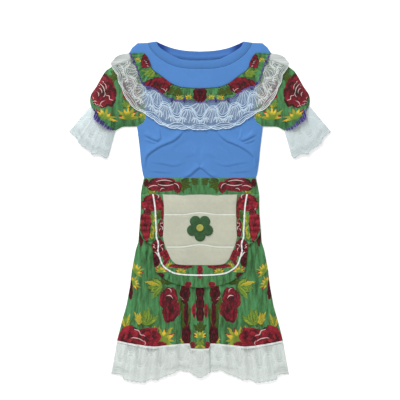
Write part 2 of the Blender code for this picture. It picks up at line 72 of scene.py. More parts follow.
def joinLines(*lines):
    return np.vstack([lines[0]] + [line[1:] for line in lines[1:]])


def runOf(line):      # length run so far at each point
    return np.concatenate([[0.0], np.cumsum(np.linalg.norm(np.diff(line, axis=0), axis=1))])


def readAt(line, shares):      # points at shares of the line's length
    run = runOf(line)
    places = np.asarray(shares) * run[-1]
    return np.stack([np.interp(places, run, values) for values in line.T], -1)


def besideLine(line):      # unit steps square to the line
    ahead = np.gradient(line, axis=0)
    ahead /= np.linalg.norm(ahead, axis=1)[:, None]
    return np.stack([ahead[:, 1], -ahead[:, 0]], -1)


def nearLine(points, line):      # distance, share of the length and side of each point
    flat = points.reshape(-1, 1, 2)
    start, span = line[:-1], np.diff(line, axis=0)
    share = np.clip(((flat - start) * span).sum(-1) / (span ** 2).sum(-1), 0, 1)
    away = flat - start - span * share[..., None]
    gap = np.sqrt((away ** 2).sum(-1))
    pick = gap.argmin(1)
    each = np.arange(len(pick))
    run = runOf(line)
    along = (run[pick] + share[each, pick] * np.diff(run)[pick]) / run[-1]
    side = np.sign(span[pick, 0] * away[each, pick, 1] - span[pick, 1] * away[each, pick, 0])
    return [found.reshape(points.shape[:-1]) for found in (gap[each, pick], along, side)]


def even(count):      # even steps from 0 to 1
    return np.linspace(0, 1, count)


def ease(value):
    value = np.clip(value, 0, 1)
    return value * value * (3 - 2 * value)


def rounded(distance, reach):
    return 1 - (1 - np.clip(distance / reach, 0, 1)) ** 2


def waves(count, place):      # even waves between 0 and 1
    return 0.5 + 0.5 * np.cos(fullTurn * count * place)


def wander(value, seed):      # slow uneven run between -1 and 1
    waviness = ((1, 2.1, 1), (0.6, 4.7, 1.7), (0.4, 9.3, 2.9))
    return sum(size * np.sin(value * pace + turn * seed) for size, pace, turn in waviness) / 2


topEdge = joinLines(curveThrough(shoulder), curveThrough(overArm))
lowEdge = joinLines(curveThrough(underArm[::-1]), curveThrough(sideSeam), curveThrough(skirtSide))


def readTable(rows, key, column=1, by=0):
    rows = sorted(rows, key=lambda row: row[by])
    return np.interp(key, [row[by] for row in rows], [row[column] for row in rows])


def halfWidth(drop):
    return readTable(sideSeam + skirtSide[1:], drop, 0, 1)


# Heights of the front cloth above the table
def baseHeight(points, soft=0.0):
    edge = np.hypot(np.minimum(nearLine(points, topEdge)[0], nearLine(points, lowEdge)[0]), soft)
    past = points[..., 0] - readTable(armhole, points[..., 1], 0, 1)
    puff = dress["puff"] * ease(past / dress["puffReach"]) * (points[..., 1] < 470)
    return dress["rest"] + (dress["frontLift"] + puff) * rounded(edge, dress["edgeReach"])


def creaseLift(points, creases):      # a soft roll of cloth that drops steeply at the line
    lift = np.zeros(points.shape[:-1])
    for ridge, edge, wide, high, start, end, *line in creases:
        gap, along, side = nearLine(points, curveThrough(line, 5))
        fade = np.clip(np.minimum(along / start, (1 - along) / end), 0, 1) ** 0.7
        past = gap * side * ridge
        step = 0.5 + 0.5 * np.tanh(past / edge)
        roll = np.exp(-(np.maximum(past, 0) / wide) ** 1.5)
        trough = 0.22 * np.exp(-((past + edge) / (1.3 * edge)) ** 2)
        lift += high * fade * (step * roll - trough) * (1 - ease((gap - 2.2 * wide) / wide))
    return lift


# A crease: side of the roll, softness of its edge, width, height, shares that fade at its ends, its line
bodice = {
    "columns": 104, "rows": (40, 116), "backColumns": 60, "backRows": (30, 50), "armpit": 0.56, "swell": 1.6,
    "creases": [
        (-1, 2.6, 15.0, 4.4, 0.20, 0.12, (40, 262), (57, 288), (69, 302), (85, 314), (105, 322), (121, 329),
         (136, 337), (152, 348), (164, 359), (170, 372), (171, 400)),
        (1, 2.8, 13.0, 4.2, 0.35, 0.2, (178, 292), (160, 302), (146, 309), (132, 313), (124, 306)),
        (1, 2.8, 9.0, 2.4, 0.3, 0.3, (176, 308), (160, 316), (144, 320), (132, 317)),
        (-1, 2.2, 12.0, 3.4, 0.3, 0.15, (128, 266), (126, 286), (122, 308)),
        (-1, 2.6, 9.0, 2.6, 0.3, 0.3, (170, 266), (163, 282), (150, 296)),
        (1, 3.0, 12.0, 1.5, 0.3, 0.35, (157, 380), (117, 385), (83, 392), (60, 386), (38, 373)),
        (1, 2.6, 9.0, 1.3, 0.3, 0.4, (158, 408), (117, 412), (88, 414)),
        (1, 2.6, 12.0, 4.2, 0.3, 0.03, (60, 432), (44, 429), (34, 423), (25, 416), (13, 405), (0, 396)),
        (-1, 5.0, 24.0, 1.2, 0.4, 0.5, (22, 300), (60, 318), (90, 340), (104, 362)),
        (-1, 5.0, 20.0, 1.0, 0.3, 0.5, (0, 352), (34, 360), (70, 378)),
    ],
}


def bodiceHeight(points):
    out, drop = points[..., 0], points[..., 1]
    settle = rounded(nearLine(points, lowEdge)[0], 26)
    below = ease((drop - 262) / 40) * ease((drop + 3.2 * out - 330) / 60)
    seam = ease((dress["waist"] - drop) / 9)
    swell = bodice["swell"] * ease((drop - 300) / 60) * ease((430 - drop) / 50)
    lift = creaseLift(points, bodice["creases"]) + swell
    return baseHeight(points) + np.maximum(lift, -1.4) * settle * below * (0.35 + 0.65 * seam)


skirt = {
    "rows": 122, "shares": [(0, 0.09, 12), (0.09, 0.14, 16), (0.14, 1, 104)],
    "backRows": 60, "backColumns": 76,
    "pleats": [(0.195, 0.022, 1.0), (0.300, 0.042, 6.6), (0.352, 0.014, 1.6), (0.415, 0.036, 4.0),
               (0.470, 0.013, 1.5), (0.525, 0.040, 7.0), (0.590, 0.015, 1.8), (0.650, 0.040, 5.0),
               (0.712, 0.014, 2.2), (0.775, 0.040, 6.8), (0.838, 0.014, 1.8), (0.895, 0.034, 5.0),
               (0.950, 0.014, 1.6)],
    "pleatStart": 26.0, "pleatGrowth": 90.0, "boxShare": 0.115, "boxHeight": 6.8, "boxDrop": 14.0,
    "apronReach": [(0, 775), (57, 766), (112, 746), (137, 730), (147, 690), (152, 645), (176, 628),
                   (300, 615)],
    "sag": [(0, 11), (0.10, 10), (0.14, 9), (0.26, 10), (0.49, 17), (0.57, 18.5), (0.67, 15), (0.84, 8),
            (1, 0)],
    "creases": [
        (1, 1.5, 12.0, 6.0, 0.1, 0.5, (159, 634), (163, 680), (161, 730), (165, 775)),
        (-1, 1.5, 11.0, 6.0, 0.1, 0.5, (165, 634), (169, 680), (167, 730), (170, 775)),
        (-1, 1.5, 6.0, 4.2, 0.2, 0.5, (152, 652), (155, 700), (150, 752)),
        (1, 1.4, 9.0, 4.4, 0.1, 0.6, (180, 640), (184, 690), (190, 740)),
        (-1, 1.4, 9.0, 4.4, 0.1, 0.6, (185, 640), (190, 690), (195, 740)),
        (-1, 1.7, 11.0, 4.2, 0.08, 0.04, (60, 776), (59, 830), (61, 900), (66, 952)),
        (1, 1.6, 6.0, 2.2, 0.15, 0.5, (10, 782), (11, 830), (9, 900)),
        (-1, 2.0, 10.0, 2.0, 0.3, 0.1, (88, 784), (96, 850), (104, 946)),
        (1, 2.0, 10.0, 1.9, 0.3, 0.4, (121, 770), (130, 840), (134, 930)),
        (-1, 2.0, 9.0, 1.6, 0.3, 0.2, (150, 780), (160, 850), (168, 950)),
        (1, 2.0, 9.0, 1.6, 0.3, 0.2, (180, 800), (190, 860), (198, 940)),
        (-1, 2.0, 9.0, 2.2, 0.3, 0.2, (205, 790), (216, 850), (224, 936)),
    ],
}
backPanels = {      # softer folds, which rest on the table between them
    "creases": [
        (-1, 3.0, 16.0, 1.5, 0.3, 0.2, (30, 250), (70, 290), (110, 330), (150, 350)),
        (1, 3.0, 14.0, 1.3, 0.05, 0.4, (0, 392), (30, 404), (70, 420)),
        (1, 3.0, 14.0, 1.1, 0.3, 0.4, (150, 380), (110, 386), (70, 380)),
        (1, 2.6, 12.0, 1.4, 0.08, 0.5, (14, 500), (16, 620), (12, 760)),
        (-1, 2.6, 14.0, 1.5, 0.06, 0.4, (52, 500), (60, 640), (66, 860)),
        (1, 2.6, 13.0, 1.3, 0.06, 0.5, (92, 500), (106, 600), (112, 740)),
        (-1, 2.6, 14.0, 1.4, 0.06, 0.4, (130, 500), (150, 660), (168, 880)),
    ],
}


def backHeight(points):
    free = rounded(nearLine(points, lowEdge)[0] - 14, 40) * ease((points[..., 1] - 190) / 60)
    return np.clip(creaseLift(points, backPanels["creases"]), 0, 1.6) * free


def skirtHeight(points):
    out, drop = points[..., 0], points[..., 1]
    side = halfWidth(drop)
    share = out / side
    below = drop - readTable(skirt["apronReach"], out) - skirt["pleatStart"]
    grown = ease(below / skirt["pleatGrowth"])
    drift = 0.006 * wander(drop / 70, 2.0)
    pleat = sum(high * (1 + 0.25 * wander(drop / 60, 7 * at)) * np.exp(-((share - at - drift) / wide) ** 2)
                for at, wide, high in skirt["pleats"])
    box = skirt["boxHeight"] * ease((skirt["boxShare"] - share) / 0.02 + 0.5)
    crease = np.maximum(creaseLift(points, skirt["creases"]), -1.2) * ease((below + 24) / 24)
    lift = dress["frontLift"] + grown * (pleat + box) + crease
    return dress["rest"] + lift * rounded(side - out, dress["edgeReach"])


# Meshes
def together(*parts):      # parts of one shape side by side, as the coordinates of points
    return np.stack(np.broadcast_arrays(*parts), -1)


def layOut(points, height):      # places in metres in the frame
    return together(points[..., 0], dress["laceEnd"] / 2 - points[..., 1], height) * mm


def mirrored(paths):      # every path, then each of them on the other side
    return list(paths) + [path * np.array([-1, 1, 1]) for path in paths]


def bothHalves(points, height):      # columns from the left edge over the centre line to the right edge
    half = layOut(points, height)
    if half[0, 0, 0] > half[0, -1, 0]:
        half = half[:, ::-1]
    return np.concatenate([half[:, :0:-1] * np.array([-1, 1, 1]), half], axis=1)


def bothStrips(across, down):      # the strip map of a lace, from the centre line to both sides
    strip = together(across[None], down)
    return np.concatenate([strip[:, :0:-1] * np.array([-1, 1]), strip], axis=1)


def newPiece(name, mesh, material):
    mesh.materials.append(material)
    piece = bpy.data.objects.new(name, mesh)
    bpy.context.scene.collection.objects.link(piece)
    return piece


def smoothMesh(name, spots, faces, material, uvMaps={}):
    mesh = bpy.data.meshes.new(name)
    mesh.from_pydata(spots.reshape(-1, 3).tolist(), [], faces.tolist())
    for mapName, corners in uvMaps.items():
        layer = mesh.uv_layers.new(name=mapName)
        layer.data.foreach_set("uv", corners.astype(np.float32).ravel())
    mesh.shade_smooth()
    return newPiece(name, mesh, material)


def gridFaces(rows, columns, closed=False):
    index = np.arange(rows * columns).reshape(rows, columns)
    if closed:
        index = np.concatenate([index, index[:, :1]], axis=1)
    return np.stack([index[:-1, :-1], index[1:, :-1], index[1:, 1:], index[:-1, 1:]], -1).reshape(-1, 4)


emptyPlace, motifShift = 1.9, 4.0      # the place where nothing is painted, and the step between motifs


def motifMap(places, kind, motifs):      # each face takes the nearest motif's own coordinates
    corners = places.copy()
    corners[..., 0] = np.abs(corners[..., 0])
    middle = corners.mean(1)
    best = np.full(len(middle), 9.0)
    result = np.full(corners.shape, emptyPlace)
    for number, (name, out, drop, wide, tall, turn, tone) in enumerate(motifs):
        if name != kind:
            continue
        turn = math.radians(turn)
        across = np.array([math.cos(turn), math.sin(turn)]) / wide
        upward = np.array([math.sin(turn), -math.cos(turn)]) / tall

        def local(spots):
            away = spots - np.array([out, drop])
            return np.stack([away @ across, away @ upward], -1)

        here = np.linalg.norm(local(middle), axis=-1)
        nearer = here < best
        best[nearer] = here[nearer]
        own = np.clip(local(corners[nearer]), -emptyPlace, emptyPlace)
        result[nearer] = own + np.array([motifShift * number, motifShift * tone])
    return result


def strokesBetween(*rows):      # start, end, rise of the curve and kind; numbers as in the other tables
    found = []
    for out, drop, endOut, endDrop, rise, kind in rows:
        wide, tall = endOut - out, endDrop - drop
        turn = math.degrees(math.atan2(tall, wide))
        middle = (out + endOut) / 2, (drop + endDrop) / 2
        found.append(("stroke", *middle, math.hypot(wide, tall) / 2, rise, turn, kind))
    return found


measured = {}


def surfaceArea(spots):
    a, b = spots[1:, :-1] - spots[:-1, :-1], spots[:-1, 1:] - spots[:-1, :-1]
    return float(np.linalg.norm(np.cross(a, b), axis=-1).sum())


def dressPiece(piece, node):
    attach(piece, "root")
    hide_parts(node)


def sewCloth(name, spots, look, node, motifs=(), strip=None, closed=False, flip=False, outward=1):
    rows, columns = spots.shape[:2]
    faces = gridFaces(rows, columns, closed)
    flat = spots.reshape(-1, 3)[faces] / mm
    places = together(flat[..., 0], dress["laceEnd"] / 2 - flat[..., 1])
    uvMaps = {"cloth": flat[..., :2] / 100}
    for kind in ("rose", "leaf", "bloom", "stroke") if motifs else ():
        uvMaps[kind] = motifMap(places, kind, motifs)
    if strip is not None:
        if closed:      # one more column, where the lace meets its start
            lastStep = np.array([2 * strip[0, -1, 0] - strip[0, -2, 0], 0])
            strip = np.concatenate([strip, strip[:, :1] + lastStep], axis=1)
        uvMaps["strip"] = strip.reshape(-1, 2)[gridFaces(rows, strip.shape[1])]
    if flip:
        faces = faces[:, ::-1]
        uvMaps = {key: value[:, ::-1] for key, value in uvMaps.items()}
    material, slot, wall = finish[look]
    piece = smoothMesh(name, spots, faces, material, uvMaps)
    shell = piece.modifiers.new("cloth thickness", "SOLIDIFY")
    shell.thickness = wall * mm
    shell.offset = outward
    piece.modifiers.new("even shading", "WEIGHTED_NORMAL")
    dressPiece(piece, node)
    measured[name] = surfaceArea(np.concatenate([spots, spots[:, :1]], axis=1) if closed else spots)
    return piece


def addCloth(name, points, height, look, node, motifs=(), lace=None):      # one that is the same on both sides
    return sewCloth(name, bothHalves(points, height), look, node, motifs, bothStrips(*lace) if lace else None)


def addThread(name, paths, radius, colour, sides=5):      # many stitches as one joined mesh
    spots, faces, first = [], [], 0
    for path in paths:
        path = np.asarray(path, float)
        ahead = np.gradient(path, axis=0)
        ahead /= np.linalg.norm(ahead, axis=1)[:, None] + 1e-9
        side = np.cross(ahead, np.array([0.05, 0.03, 1.0]))
        side /= np.linalg.norm(side, axis=1)[:, None] + 1e-9
        over = np.cross(side, ahead)
        turn = np.arange(sides) * fullTurn / sides
        ring = side[:, None] * np.cos(turn)[:, None] + over[:, None] * np.sin(turn)[:, None]
        spots.append((path[:, None] + ring * radius * mm).reshape(-1, 3))
        faces.append(gridFaces(len(path), sides, True) + first)
        first += len(spots[-1])
    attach(smoothMesh(name, np.vstack(spots), np.vstack(faces), threads[colour]), "root")


# Shader helpers. The desk holds the node tree being built, and a term is a socket that formulas can use.
desk = {"tree": None}


class term:
    def __init__(self, socket):
        self.socket = socket

    def __add__(self, other):
        return calc("ADD", self, other)

    def __radd__(self, other):
        return calc("ADD", other, self)

    def __sub__(self, other):
        return calc("SUBTRACT", self, other)

    def __rsub__(self, other):
        return calc("SUBTRACT", other, self)

    def __mul__(self, other):
        return calc("MULTIPLY", self, other)

    def __rmul__(self, other):
        return calc("MULTIPLY", other, self)

    def __truediv__(self, other):
        return calc("DIVIDE", self, other)

    def __abs__(self):
        return calc("ABSOLUTE", self)


def feed(value, socket):
    if isinstance(value, term):
        desk["tree"].links.new(value.socket, socket)
    else:
        socket.default_value = value


def addNode(kind, *values, **settings):      # a node of this kind with its first sockets fed in their order
    node = desk["tree"].nodes.new("ShaderNode" + kind)
    for setting, value in settings.items():
        setattr(node, setting, value)
    for value, socket in zip(values, node.inputs):
        feed(value, socket)
    return node


def outputsOf(node):
    return {socket.name: term(socket) for socket in node.outputs}


def calc(operation, *values):
    return term(addNode("Math", *values, operation=operation).outputs[0])


def sine(value):
    return calc("SINE", value)


def cosine(value):
    return calc("COSINE", value)


def larger(first, second):
    return calc("MAXIMUM", first, second)


def same(value, number):      # 1 where a whole number has this value
    return calc("COMPARE", value, number, 0.1)


def vectorCalc(operation, *values):
    node = addNode("VectorMath", *values, operation=operation)
    return term(node.outputs["Value" if operation == "LENGTH" else "Vector"])


def stretched(vector, amounts):
    return vectorCalc("MULTIPLY", vector, amounts)


def scaled(vector, amount):
    node = addNode("VectorMath", vector, operation="SCALE")
    feed(amount, node.inputs["Scale"])
    return term(node.outputs[0])


def mixed(factor, first, second):
    node = addNode("Mix", factor, data_type="RGBA")
    for value, socket in ((first, node.inputs[6]), (second, node.inputs[7])):
        feed(value if isinstance(value, term) else (*value[:3], 1), socket)
    return term(node.outputs[2])


def noise(vector, scale, detail=2.0, rough=0.5, bend=0.0):      # its value, and its colour as a vector
    node = addNode("TexNoise", vector)
    for label, value in (("Scale", scale), ("Detail", detail), ("Roughness", rough), ("Distortion", bend)):
        node.inputs[label].default_value = value
    return term(node.outputs[0]), term(node.outputs["Color"])


def cells(vector, feature, uneven=1.0):
    node = addNode("TexVoronoi", vector, voronoi_dimensions="2D", feature=feature)
    node.inputs["Scale"].default_value = 1.0
    node.inputs["Randomness"].default_value = uneven
    return outputsOf(node)


def ramp(value, *stops):
    node = addNode("ValToRGB", value)
    points = node.color_ramp.elements
    while len(points) < len(stops):
        points.new(0.5)
    for point, (place, *colour) in zip(points, stops):
        point.position = place
        point.color = (*colour, 1.0)
    return term(node.outputs[0])


def smoothStep(value, low, high):
    return term(addNode("MapRange", value, low, high, interpolation_type="SMOOTHSTEP").outputs[0])


def split(vector):
    return [term(socket) for socket in addNode("SeparateXYZ", vector).outputs][:2]


def join(x, y):
    return term(addNode("CombineXYZ", x, y).outputs[0])


def uvPlace(name):
    return term(addNode("UVMap", uv_map=name).outputs[0])


def startGroup(name, **inputs):      # inputs by name and kind; gives them as terms
    tree = bpy.data.node_groups.new(name, "ShaderNodeTree")
    desk["tree"] = tree
    for label, kind in inputs.items():
        tree.interface.new_socket(label, in_out="INPUT", socket_type="NodeSocket" + kind)
    given = tree.nodes.new("NodeGroupInput").outputs
    return [term(given[label]) for label in inputs]


def endGroup(**outputs):
    tree = desk["tree"]
    for label in outputs:
        kind = "NodeSocketColor" if label == "Color" else "NodeSocketFloat"
        tree.interface.new_socket(label, in_out="OUTPUT", socket_type=kind)
    sockets = tree.nodes.new("NodeGroupOutput").inputs
    for label, value in outputs.items():
        feed(value, sockets[label])
    return tree


def useGroup(group, **values):
    node = addNode("Group", node_tree=groups[group])
    for label, value in values.items():
        feed(value, node.inputs[label])
    return outputsOf(node)


# Weaves. The cloth map is in units of 100 mm.
def makeWeave():
    cloth, threads = startGroup("plainWeave", Vector="Vector", Threads="Float")
    x, y = split(scaled(cloth, threads))
    slub = noise(stretched(cloth, (3.0, 60.0, 1.0)), 4.0)[0]
    return endGroup(Height=sine(x) * sine(y) + slub * 0.6, Shade=0.93 + slub * 0.14)


def makeKnit():
    cloth, wales = startGroup("jerseyKnit", Vector="Vector", Wales="Float")
    x, y = split(scaled(cloth, wales))
    rows = sine((y * 1.3 + calc("PINGPONG", x, 0.5)) * 6.283)
    rib = abs(sine(x * 3.1416))
    fuzz = noise(cloth, 160.0, 3.0, 0.6)[0]
    return endGroup(Height=rib * (1.0 + rows * 0.4) + fuzz * 0.5, Shade=0.92 + fuzz * 0.16)


def makeTone():
    cloth, amount = startGroup("clothTone", Vector="Vector", Amount="Float")
    wide = noise(cloth, 0.9, 3.0, 0.55)[0]
    fine = noise(cloth, 9.0, 3.0, 0.6)[0]
    return endGroup(Shade=1.0 + (wide * 1.3 + fine * 0.7 - 1.0) * amount)


# Painted flowers. A motif's coordinates run from -1 to 1, shifted by 4 for each motif and for a darker tone.
def strayed(place, colours, amount):      # the place moved about by a noise
    return vectorCalc("ADD", place, scaled(vectorCalc("SUBTRACT", colours, (0.5, 0.5, 0.5)), amount))


def motifStart(place, blur):
    x, y = split(place)
    number, tone = (calc("FLOOR", (value + 2.0) / 4.0) for value in (x, y))
    own = join(calc("WRAP", x, 2.0, -2.0), calc("WRAP", y, 2.0, -2.0))
    return strayed(own, noise(place, 2.6, 3.0, 0.6, 0.4)[1], blur), number * 2.4, tone


# the dark tone: darker motifs of the print, and painted shade where they lie in fold valleys
def darkened(colour, tone, amount):
    return scaled(colour, 1.0 - same(tone, 1.0) * amount)


def makeRose():
    place, = startGroup("paintedRose", Place="Vector")
    spot, phase, tone = motifStart(place, 0.36)
    angle = calc("ARCTAN2", *split(spot))
    lumps = cosine(angle * 3.0 + phase) * 0.07 + cosine(angle * 8.0 + phase * 2.0) * 0.04
    share = vectorCalc("LENGTH", spot) / (0.93 + lumps)
    brush, colours = noise(place, 3.8, 4.0, 0.66)
    # petals in rings round the middle, dark inside and lighter towards their outer rim
    ring = strayed(join(angle * 0.80 + phase, share * 2.1), colours, 1.5)
    petals = cells(ring, "F1")
    outward = split(vectorCalc("SUBTRACT", ring, petals["Position"]))[1]
    depth = outward * 0.44 + petals["Distance"] * -0.30 + (brush - 0.5) * 1.1
    depth = depth + same(tone, 3.0) * 0.15 + (0.60 + smoothStep(share, 0.40, 0.10) * -0.20)
    colour = ramp(depth, (0.12, 0.026, 0.012, 0.008), (0.34, 0.062, 0.008, 0.010), (0.54, 0.135, 0.009, 0.017),
                  (0.76, 0.275, 0.013, 0.026), (1.0, 0.43, 0.030, 0.036))
    return endGroup(Mask=smoothStep(share, 1.0, 0.95), Color=darkened(colour, tone, 0.45))


def makeStroke():      # one pale brush stroke: an arc, a wave or a hook by its tone
    place, = startGroup("paleStroke", Place="Vector")
    spot, _, shape = motifStart(place, 0.16)
    x, y = split(spot)
    squared = x * x
    hook = 0.45 - squared * squared * calc("GREATER_THAN", x, 0.0)
    arc, wave = (0.5 - squared) * same(shape, 0.0), sine(x * 5.2) * 0.45 * same(shape, 1.0)
    line = arc + wave + hook * same(shape, 2.0)
    half = calc("SQRT", larger(1.0 - squared, 0.0002)) * 0.34
    return endGroup(Mask=smoothStep(abs(y - line), half, half * 0.45) * calc("LESS_THAN", squared, 0.99))


def makeFan():
    kinds = {label: "Float" for label in ("Phase", "Step", "Reach", "Width", "Count")}
    spot, phase, step, reach, width, count = startGroup("petalFan", Spot="Vector", **kinds)
    x, y = split(vectorCalc("ADD", spot, (0.0, 0.72, 0.0)))
    angle = calc("ARCTAN2", x, y)
    number = calc("MINIMUM", larger(calc("ROUND", angle / step), count * -1.0), count)
    turned = angle - number * step
    far = vectorCalc("LENGTH", join(x, y))
    along = far / (reach * (0.84 + sine(number * 2.3 + phase) * 0.16))
    belly = sine(calc("POWER", calc("MINIMUM", along, 1.0), 0.85) * 3.1416)
    across = far * sine(turned) / (belly * width + 0.012)
    inside = smoothStep(abs(across), 1.0, 0.86) * smoothStep(along, 1.0, 0.97)
    front = calc("LESS_THAN", abs(turned), 1.3)
    return endGroup(Mask=inside * front, Along=along, Across=across, Number=number)


def makeLeaves():
    place, = startGroup("paintedLeaves", Place="Vector")
    spot, phase, tone = motifStart(place, 0.46)
    behind = useGroup("fan", Spot=spot, Phase=phase + 1.0, Step=0.50, Reach=1.56, Width=0.50, Count=2.0)
    leaf = useGroup("fan", Spot=spot, Phase=phase, Step=0.46, Reach=1.74, Width=0.33, Count=2.0)
    paint = noise(join(leaf["Across"] * 1.6, leaf["Along"] + leaf["Number"] * 3.0), 1.5, 4.0, 0.65)[0]
    colour = ramp(paint, (0.28, 0.040, 0.095, 0.018), (0.43, 0.095, 0.200, 0.030), (0.55, 0.210, 0.310, 0.035),
                  (0.74, 0.40, 0.42, 0.045))
    gold = calc("GREATER_THAN", sine(leaf["Number"] * 1.9 + phase), 0.80) * (1.0 - same(tone, 1.0))
    colour = mixed(larger(gold, same(tone, 2.0)) * 0.7, colour, (0.62, 0.44, 0.035))
    rim = smoothStep(abs(leaf["Across"]), 0.70, 0.95)
    vein = smoothStep(abs(leaf["Across"] - 0.15), 0.14, 0.04) * smoothStep(leaf["Along"], 0.9, 0.6)
    colour = mixed(larger(rim, vein) * 0.7, colour, (0.030, 0.070, 0.012))
    colour = mixed(leaf["Mask"], (0.045, 0.075, 0.016), colour)
    return endGroup(Mask=larger(leaf["Mask"], behind["Mask"] * 0.85), Color=darkened(colour, tone, 0.65))


def makeBloom():
    place, = startGroup("paintedBloom", Place="Vector")
    spot, phase, tone = motifStart(place, 0.42)
    behind = useGroup("fan", Spot=spot, Phase=phase + 2.0, Step=0.42, Reach=1.52, Width=0.24, Count=3.0)
    petal = useGroup("fan", Spot=spot, Phase=phase, Step=0.47, Reach=1.66, Width=0.185, Count=3.0)
    streak = noise(join(petal["Across"] * 1.4, petal["Along"] + petal["Number"] * 2.0), 1.6, 3.0, 0.6)[0]
    greener = calc("GREATER_THAN", sine(petal["Number"] * 2.7 + phase), 0.1) * 0.65
    colour = ramp(petal["Along"] + (streak - 0.5) * 0.5, (0.12, 0.085, 0.17, 0.025), (0.38, 0.27, 0.32, 0.035),
                  (0.58, 0.66, 0.50, 0.045), (0.84, 0.74, 0.42, 0.04), (1.0, 0.62, 0.20, 0.03))
    colour = mixed(greener, colour, (0.17, 0.27, 0.030))
    red = ramp(behind["Along"], (0.2, 0.070, 0.10, 0.02), (0.45, 0.20, 0.045, 0.02), (0.8, 0.30, 0.020, 0.022),
               (1.0, 0.14, 0.012, 0.014))
    redSide = smoothStep(sine(behind["Number"] + phase), -0.5, 0.1)
    x, y = split(vectorCalc("ADD", spot, (0.0, 0.62, 0.0)))
    cup = smoothStep(vectorCalc("LENGTH", join(x, y * 1.2)), 0.46, 0.32)
    colour = mixed(cup * 0.8, mixed(petal["Mask"], red, colour), (0.17, 0.27, 0.035))
    mask = larger(larger(behind["Mask"] * redSide, petal["Mask"]), cup)
    return endGroup(Mask=mask, Color=darkened(colour, tone, 0.5))


# Lace. The strip map runs along the lace in units of one repeat and from 0 at the seam to 1 at the edge.
laceDesign = {
    "drift": (1.1, 1.6, 1.0), "wobble": (0.30, 0.14, 0.0), "waveTurn": 1.35, "flatness": 0.65,
    # cords in groups: middle, height of the wave, half width, strength
    "waveCords": [(0.32, 0.150, 0.012, 0.85), (0.385, 0.160, 0.014, 1.0), (0.45, 0.160, 0.011, 0.85),
                  (0.80, -0.075, 0.012, 0.85), (0.865, -0.045, 0.012, 0.9)],
    "edgeCords": [(0.976, 0.021, 1.0), (0.920, 0.012, 0.9)],      # middle, half width, strength
    # ribbed shells in the hollows on both sides of the wave: shift, rise, ribs, inner and outer reach, spread
    "shells": [(0.0, -0.06, 11.0, 0.08, 0.52, 0.85), (0.5, 0.22, 11.0, 0.05, 0.56, 0.72),
               (0.25, 0.50, 8.0, 0.04, 0.28, 0.85), (-0.25, 0.50, 8.0, 0.04, 0.28, 0.85),
               (0.0, 0.55, 8.0, 0.04, 0.22, 1.1)],
    "net": (34.0, 50.0, 1.0), "netUneven": 0.35,
}


def makeLaceDesign():
    kinds = {label: "Float" for label in ("Net", "Fill", "PlainFrom")}
    place, net, fill, plainFrom = startGroup("laceDesign", Strip="Vector", **kinds)
    u, v = split(place)
    drift = noise(stretched(place, laceDesign["drift"]), 1.0, 1.0)[1]
    wobble = stretched(vectorCalc("SUBTRACT", drift, (0.5, 0.5, 0.5)), laceDesign["wobble"])
    x, y = split(vectorCalc("ADD", place, wobble))
    turn = cosine(x * 6.2832) * laceDesign["waveTurn"]
    wave = sine(turn)
    swing = sine(x * 6.2832) * laceDesign["waveTurn"] * cosine(turn)
    scallop = 1.0 - abs(sine(u * 6.2832))
    cords, solid = 0.0, 0.0
    for middle, high, half, strong in laceDesign["waveCords"]:
        slope = swing * (high * 6.2832 / laceDesign["flatness"])
        away = abs(y - (middle + wave * high)) / calc("SQRT", 1.0 + slope * slope)
        cords = larger(cords, smoothStep(away, half, half * 0.55) * strong)
    for middle, half, strong in laceDesign["edgeCords"]:
        away = abs(v - (middle - scallop * 0.05))
        cords = larger(cords, smoothStep(away, half, half * 0.55) * strong)
    cords = larger(cords, smoothStep(v, 0.030, 0.018))
    for shift, rise, ribs, low, high, spread in laceDesign["shells"]:
        across = calc("WRAP", x - shift, 0.5, -0.5) * laceDesign["flatness"]
        down = y - rise
        angle = calc("ARCTAN2", across, down)
        far = vectorCalc("LENGTH", join(across, down))
        inside = smoothStep(far, low, low + 0.03) * smoothStep(far + abs(angle) * 0.12, high, high - 0.03)
        inside = inside * smoothStep(abs(angle), spread, spread - 0.10)
        rib = abs(sine((angle + far * 0.5) * ribs)) * far
        cords = larger(cords, smoothStep(rib, 0.135, 0.060) * inside * 0.75)
        solid = larger(solid, inside)
    wall = cells(stretched(place, laceDesign["net"]), "DISTANCE_TO_EDGE", laceDesign["netUneven"])["Distance"]
    mesh = smoothStep(wall, net, net * 0.6)
    dense = solid * smoothStep(wall, fill, fill * 0.6)
    # past this place the lace lies double over the shoulder
    plain = smoothStep(abs(u) + v * 0.33 - plainFrom, -0.07, 0.06) * smoothStep(v, 0.06, 0.16)
    cords = cords * (1.0 - plain * 0.85)
    edge = 1.0 - (1.0 - abs(sine(u * (3.1416 * 5)))) * 0.024
    whole = larger(larger(mesh, plain), larger(dense, cords))
    cord = larger(larger(cords, plain * 0.35), dense * 0.25)
    return endGroup(Cover=whole * calc("LESS_THAN", v, edge), Cord=cord, Plain=plain)


groups = {}
for label, make in (("weave", makeWeave), ("knit", makeKnit), ("tone", makeTone), ("rose", makeRose),
                    ("stroke", makeStroke), ("fan", makeFan), ("lace", makeLaceDesign), ("leaf", makeLeaves),
                    ("bloom", makeBloom)):
    groups[label] = make()
print("patterns made")


def startMaterial(name, rough, sheen):
    material = bpy.data.materials.new(name)
    material.use_nodes = True
    desk["tree"] = material.node_tree
    inputs = material.node_tree.nodes["Principled BSDF"].inputs
    settings = {"Roughness": rough, "Specular IOR Level": 0.25, "Sheen Weight": sheen, "Sheen Roughness": 0.45}
    for label, value in settings.items():
        inputs[label].default_value = value
    return material, inputs


def lookOf(inputs, colour, height, distance, strength):      # the colour, and a bump that feeds the normal
    feed(colour, inputs["Base Color"])
    bump = addNode("Bump")
    for label, value in (("Distance", distance), ("Strength", strength), ("Height", height)):
        feed(value, bump.inputs[label])
    feed(term(bump.outputs[0]), inputs["Normal"])


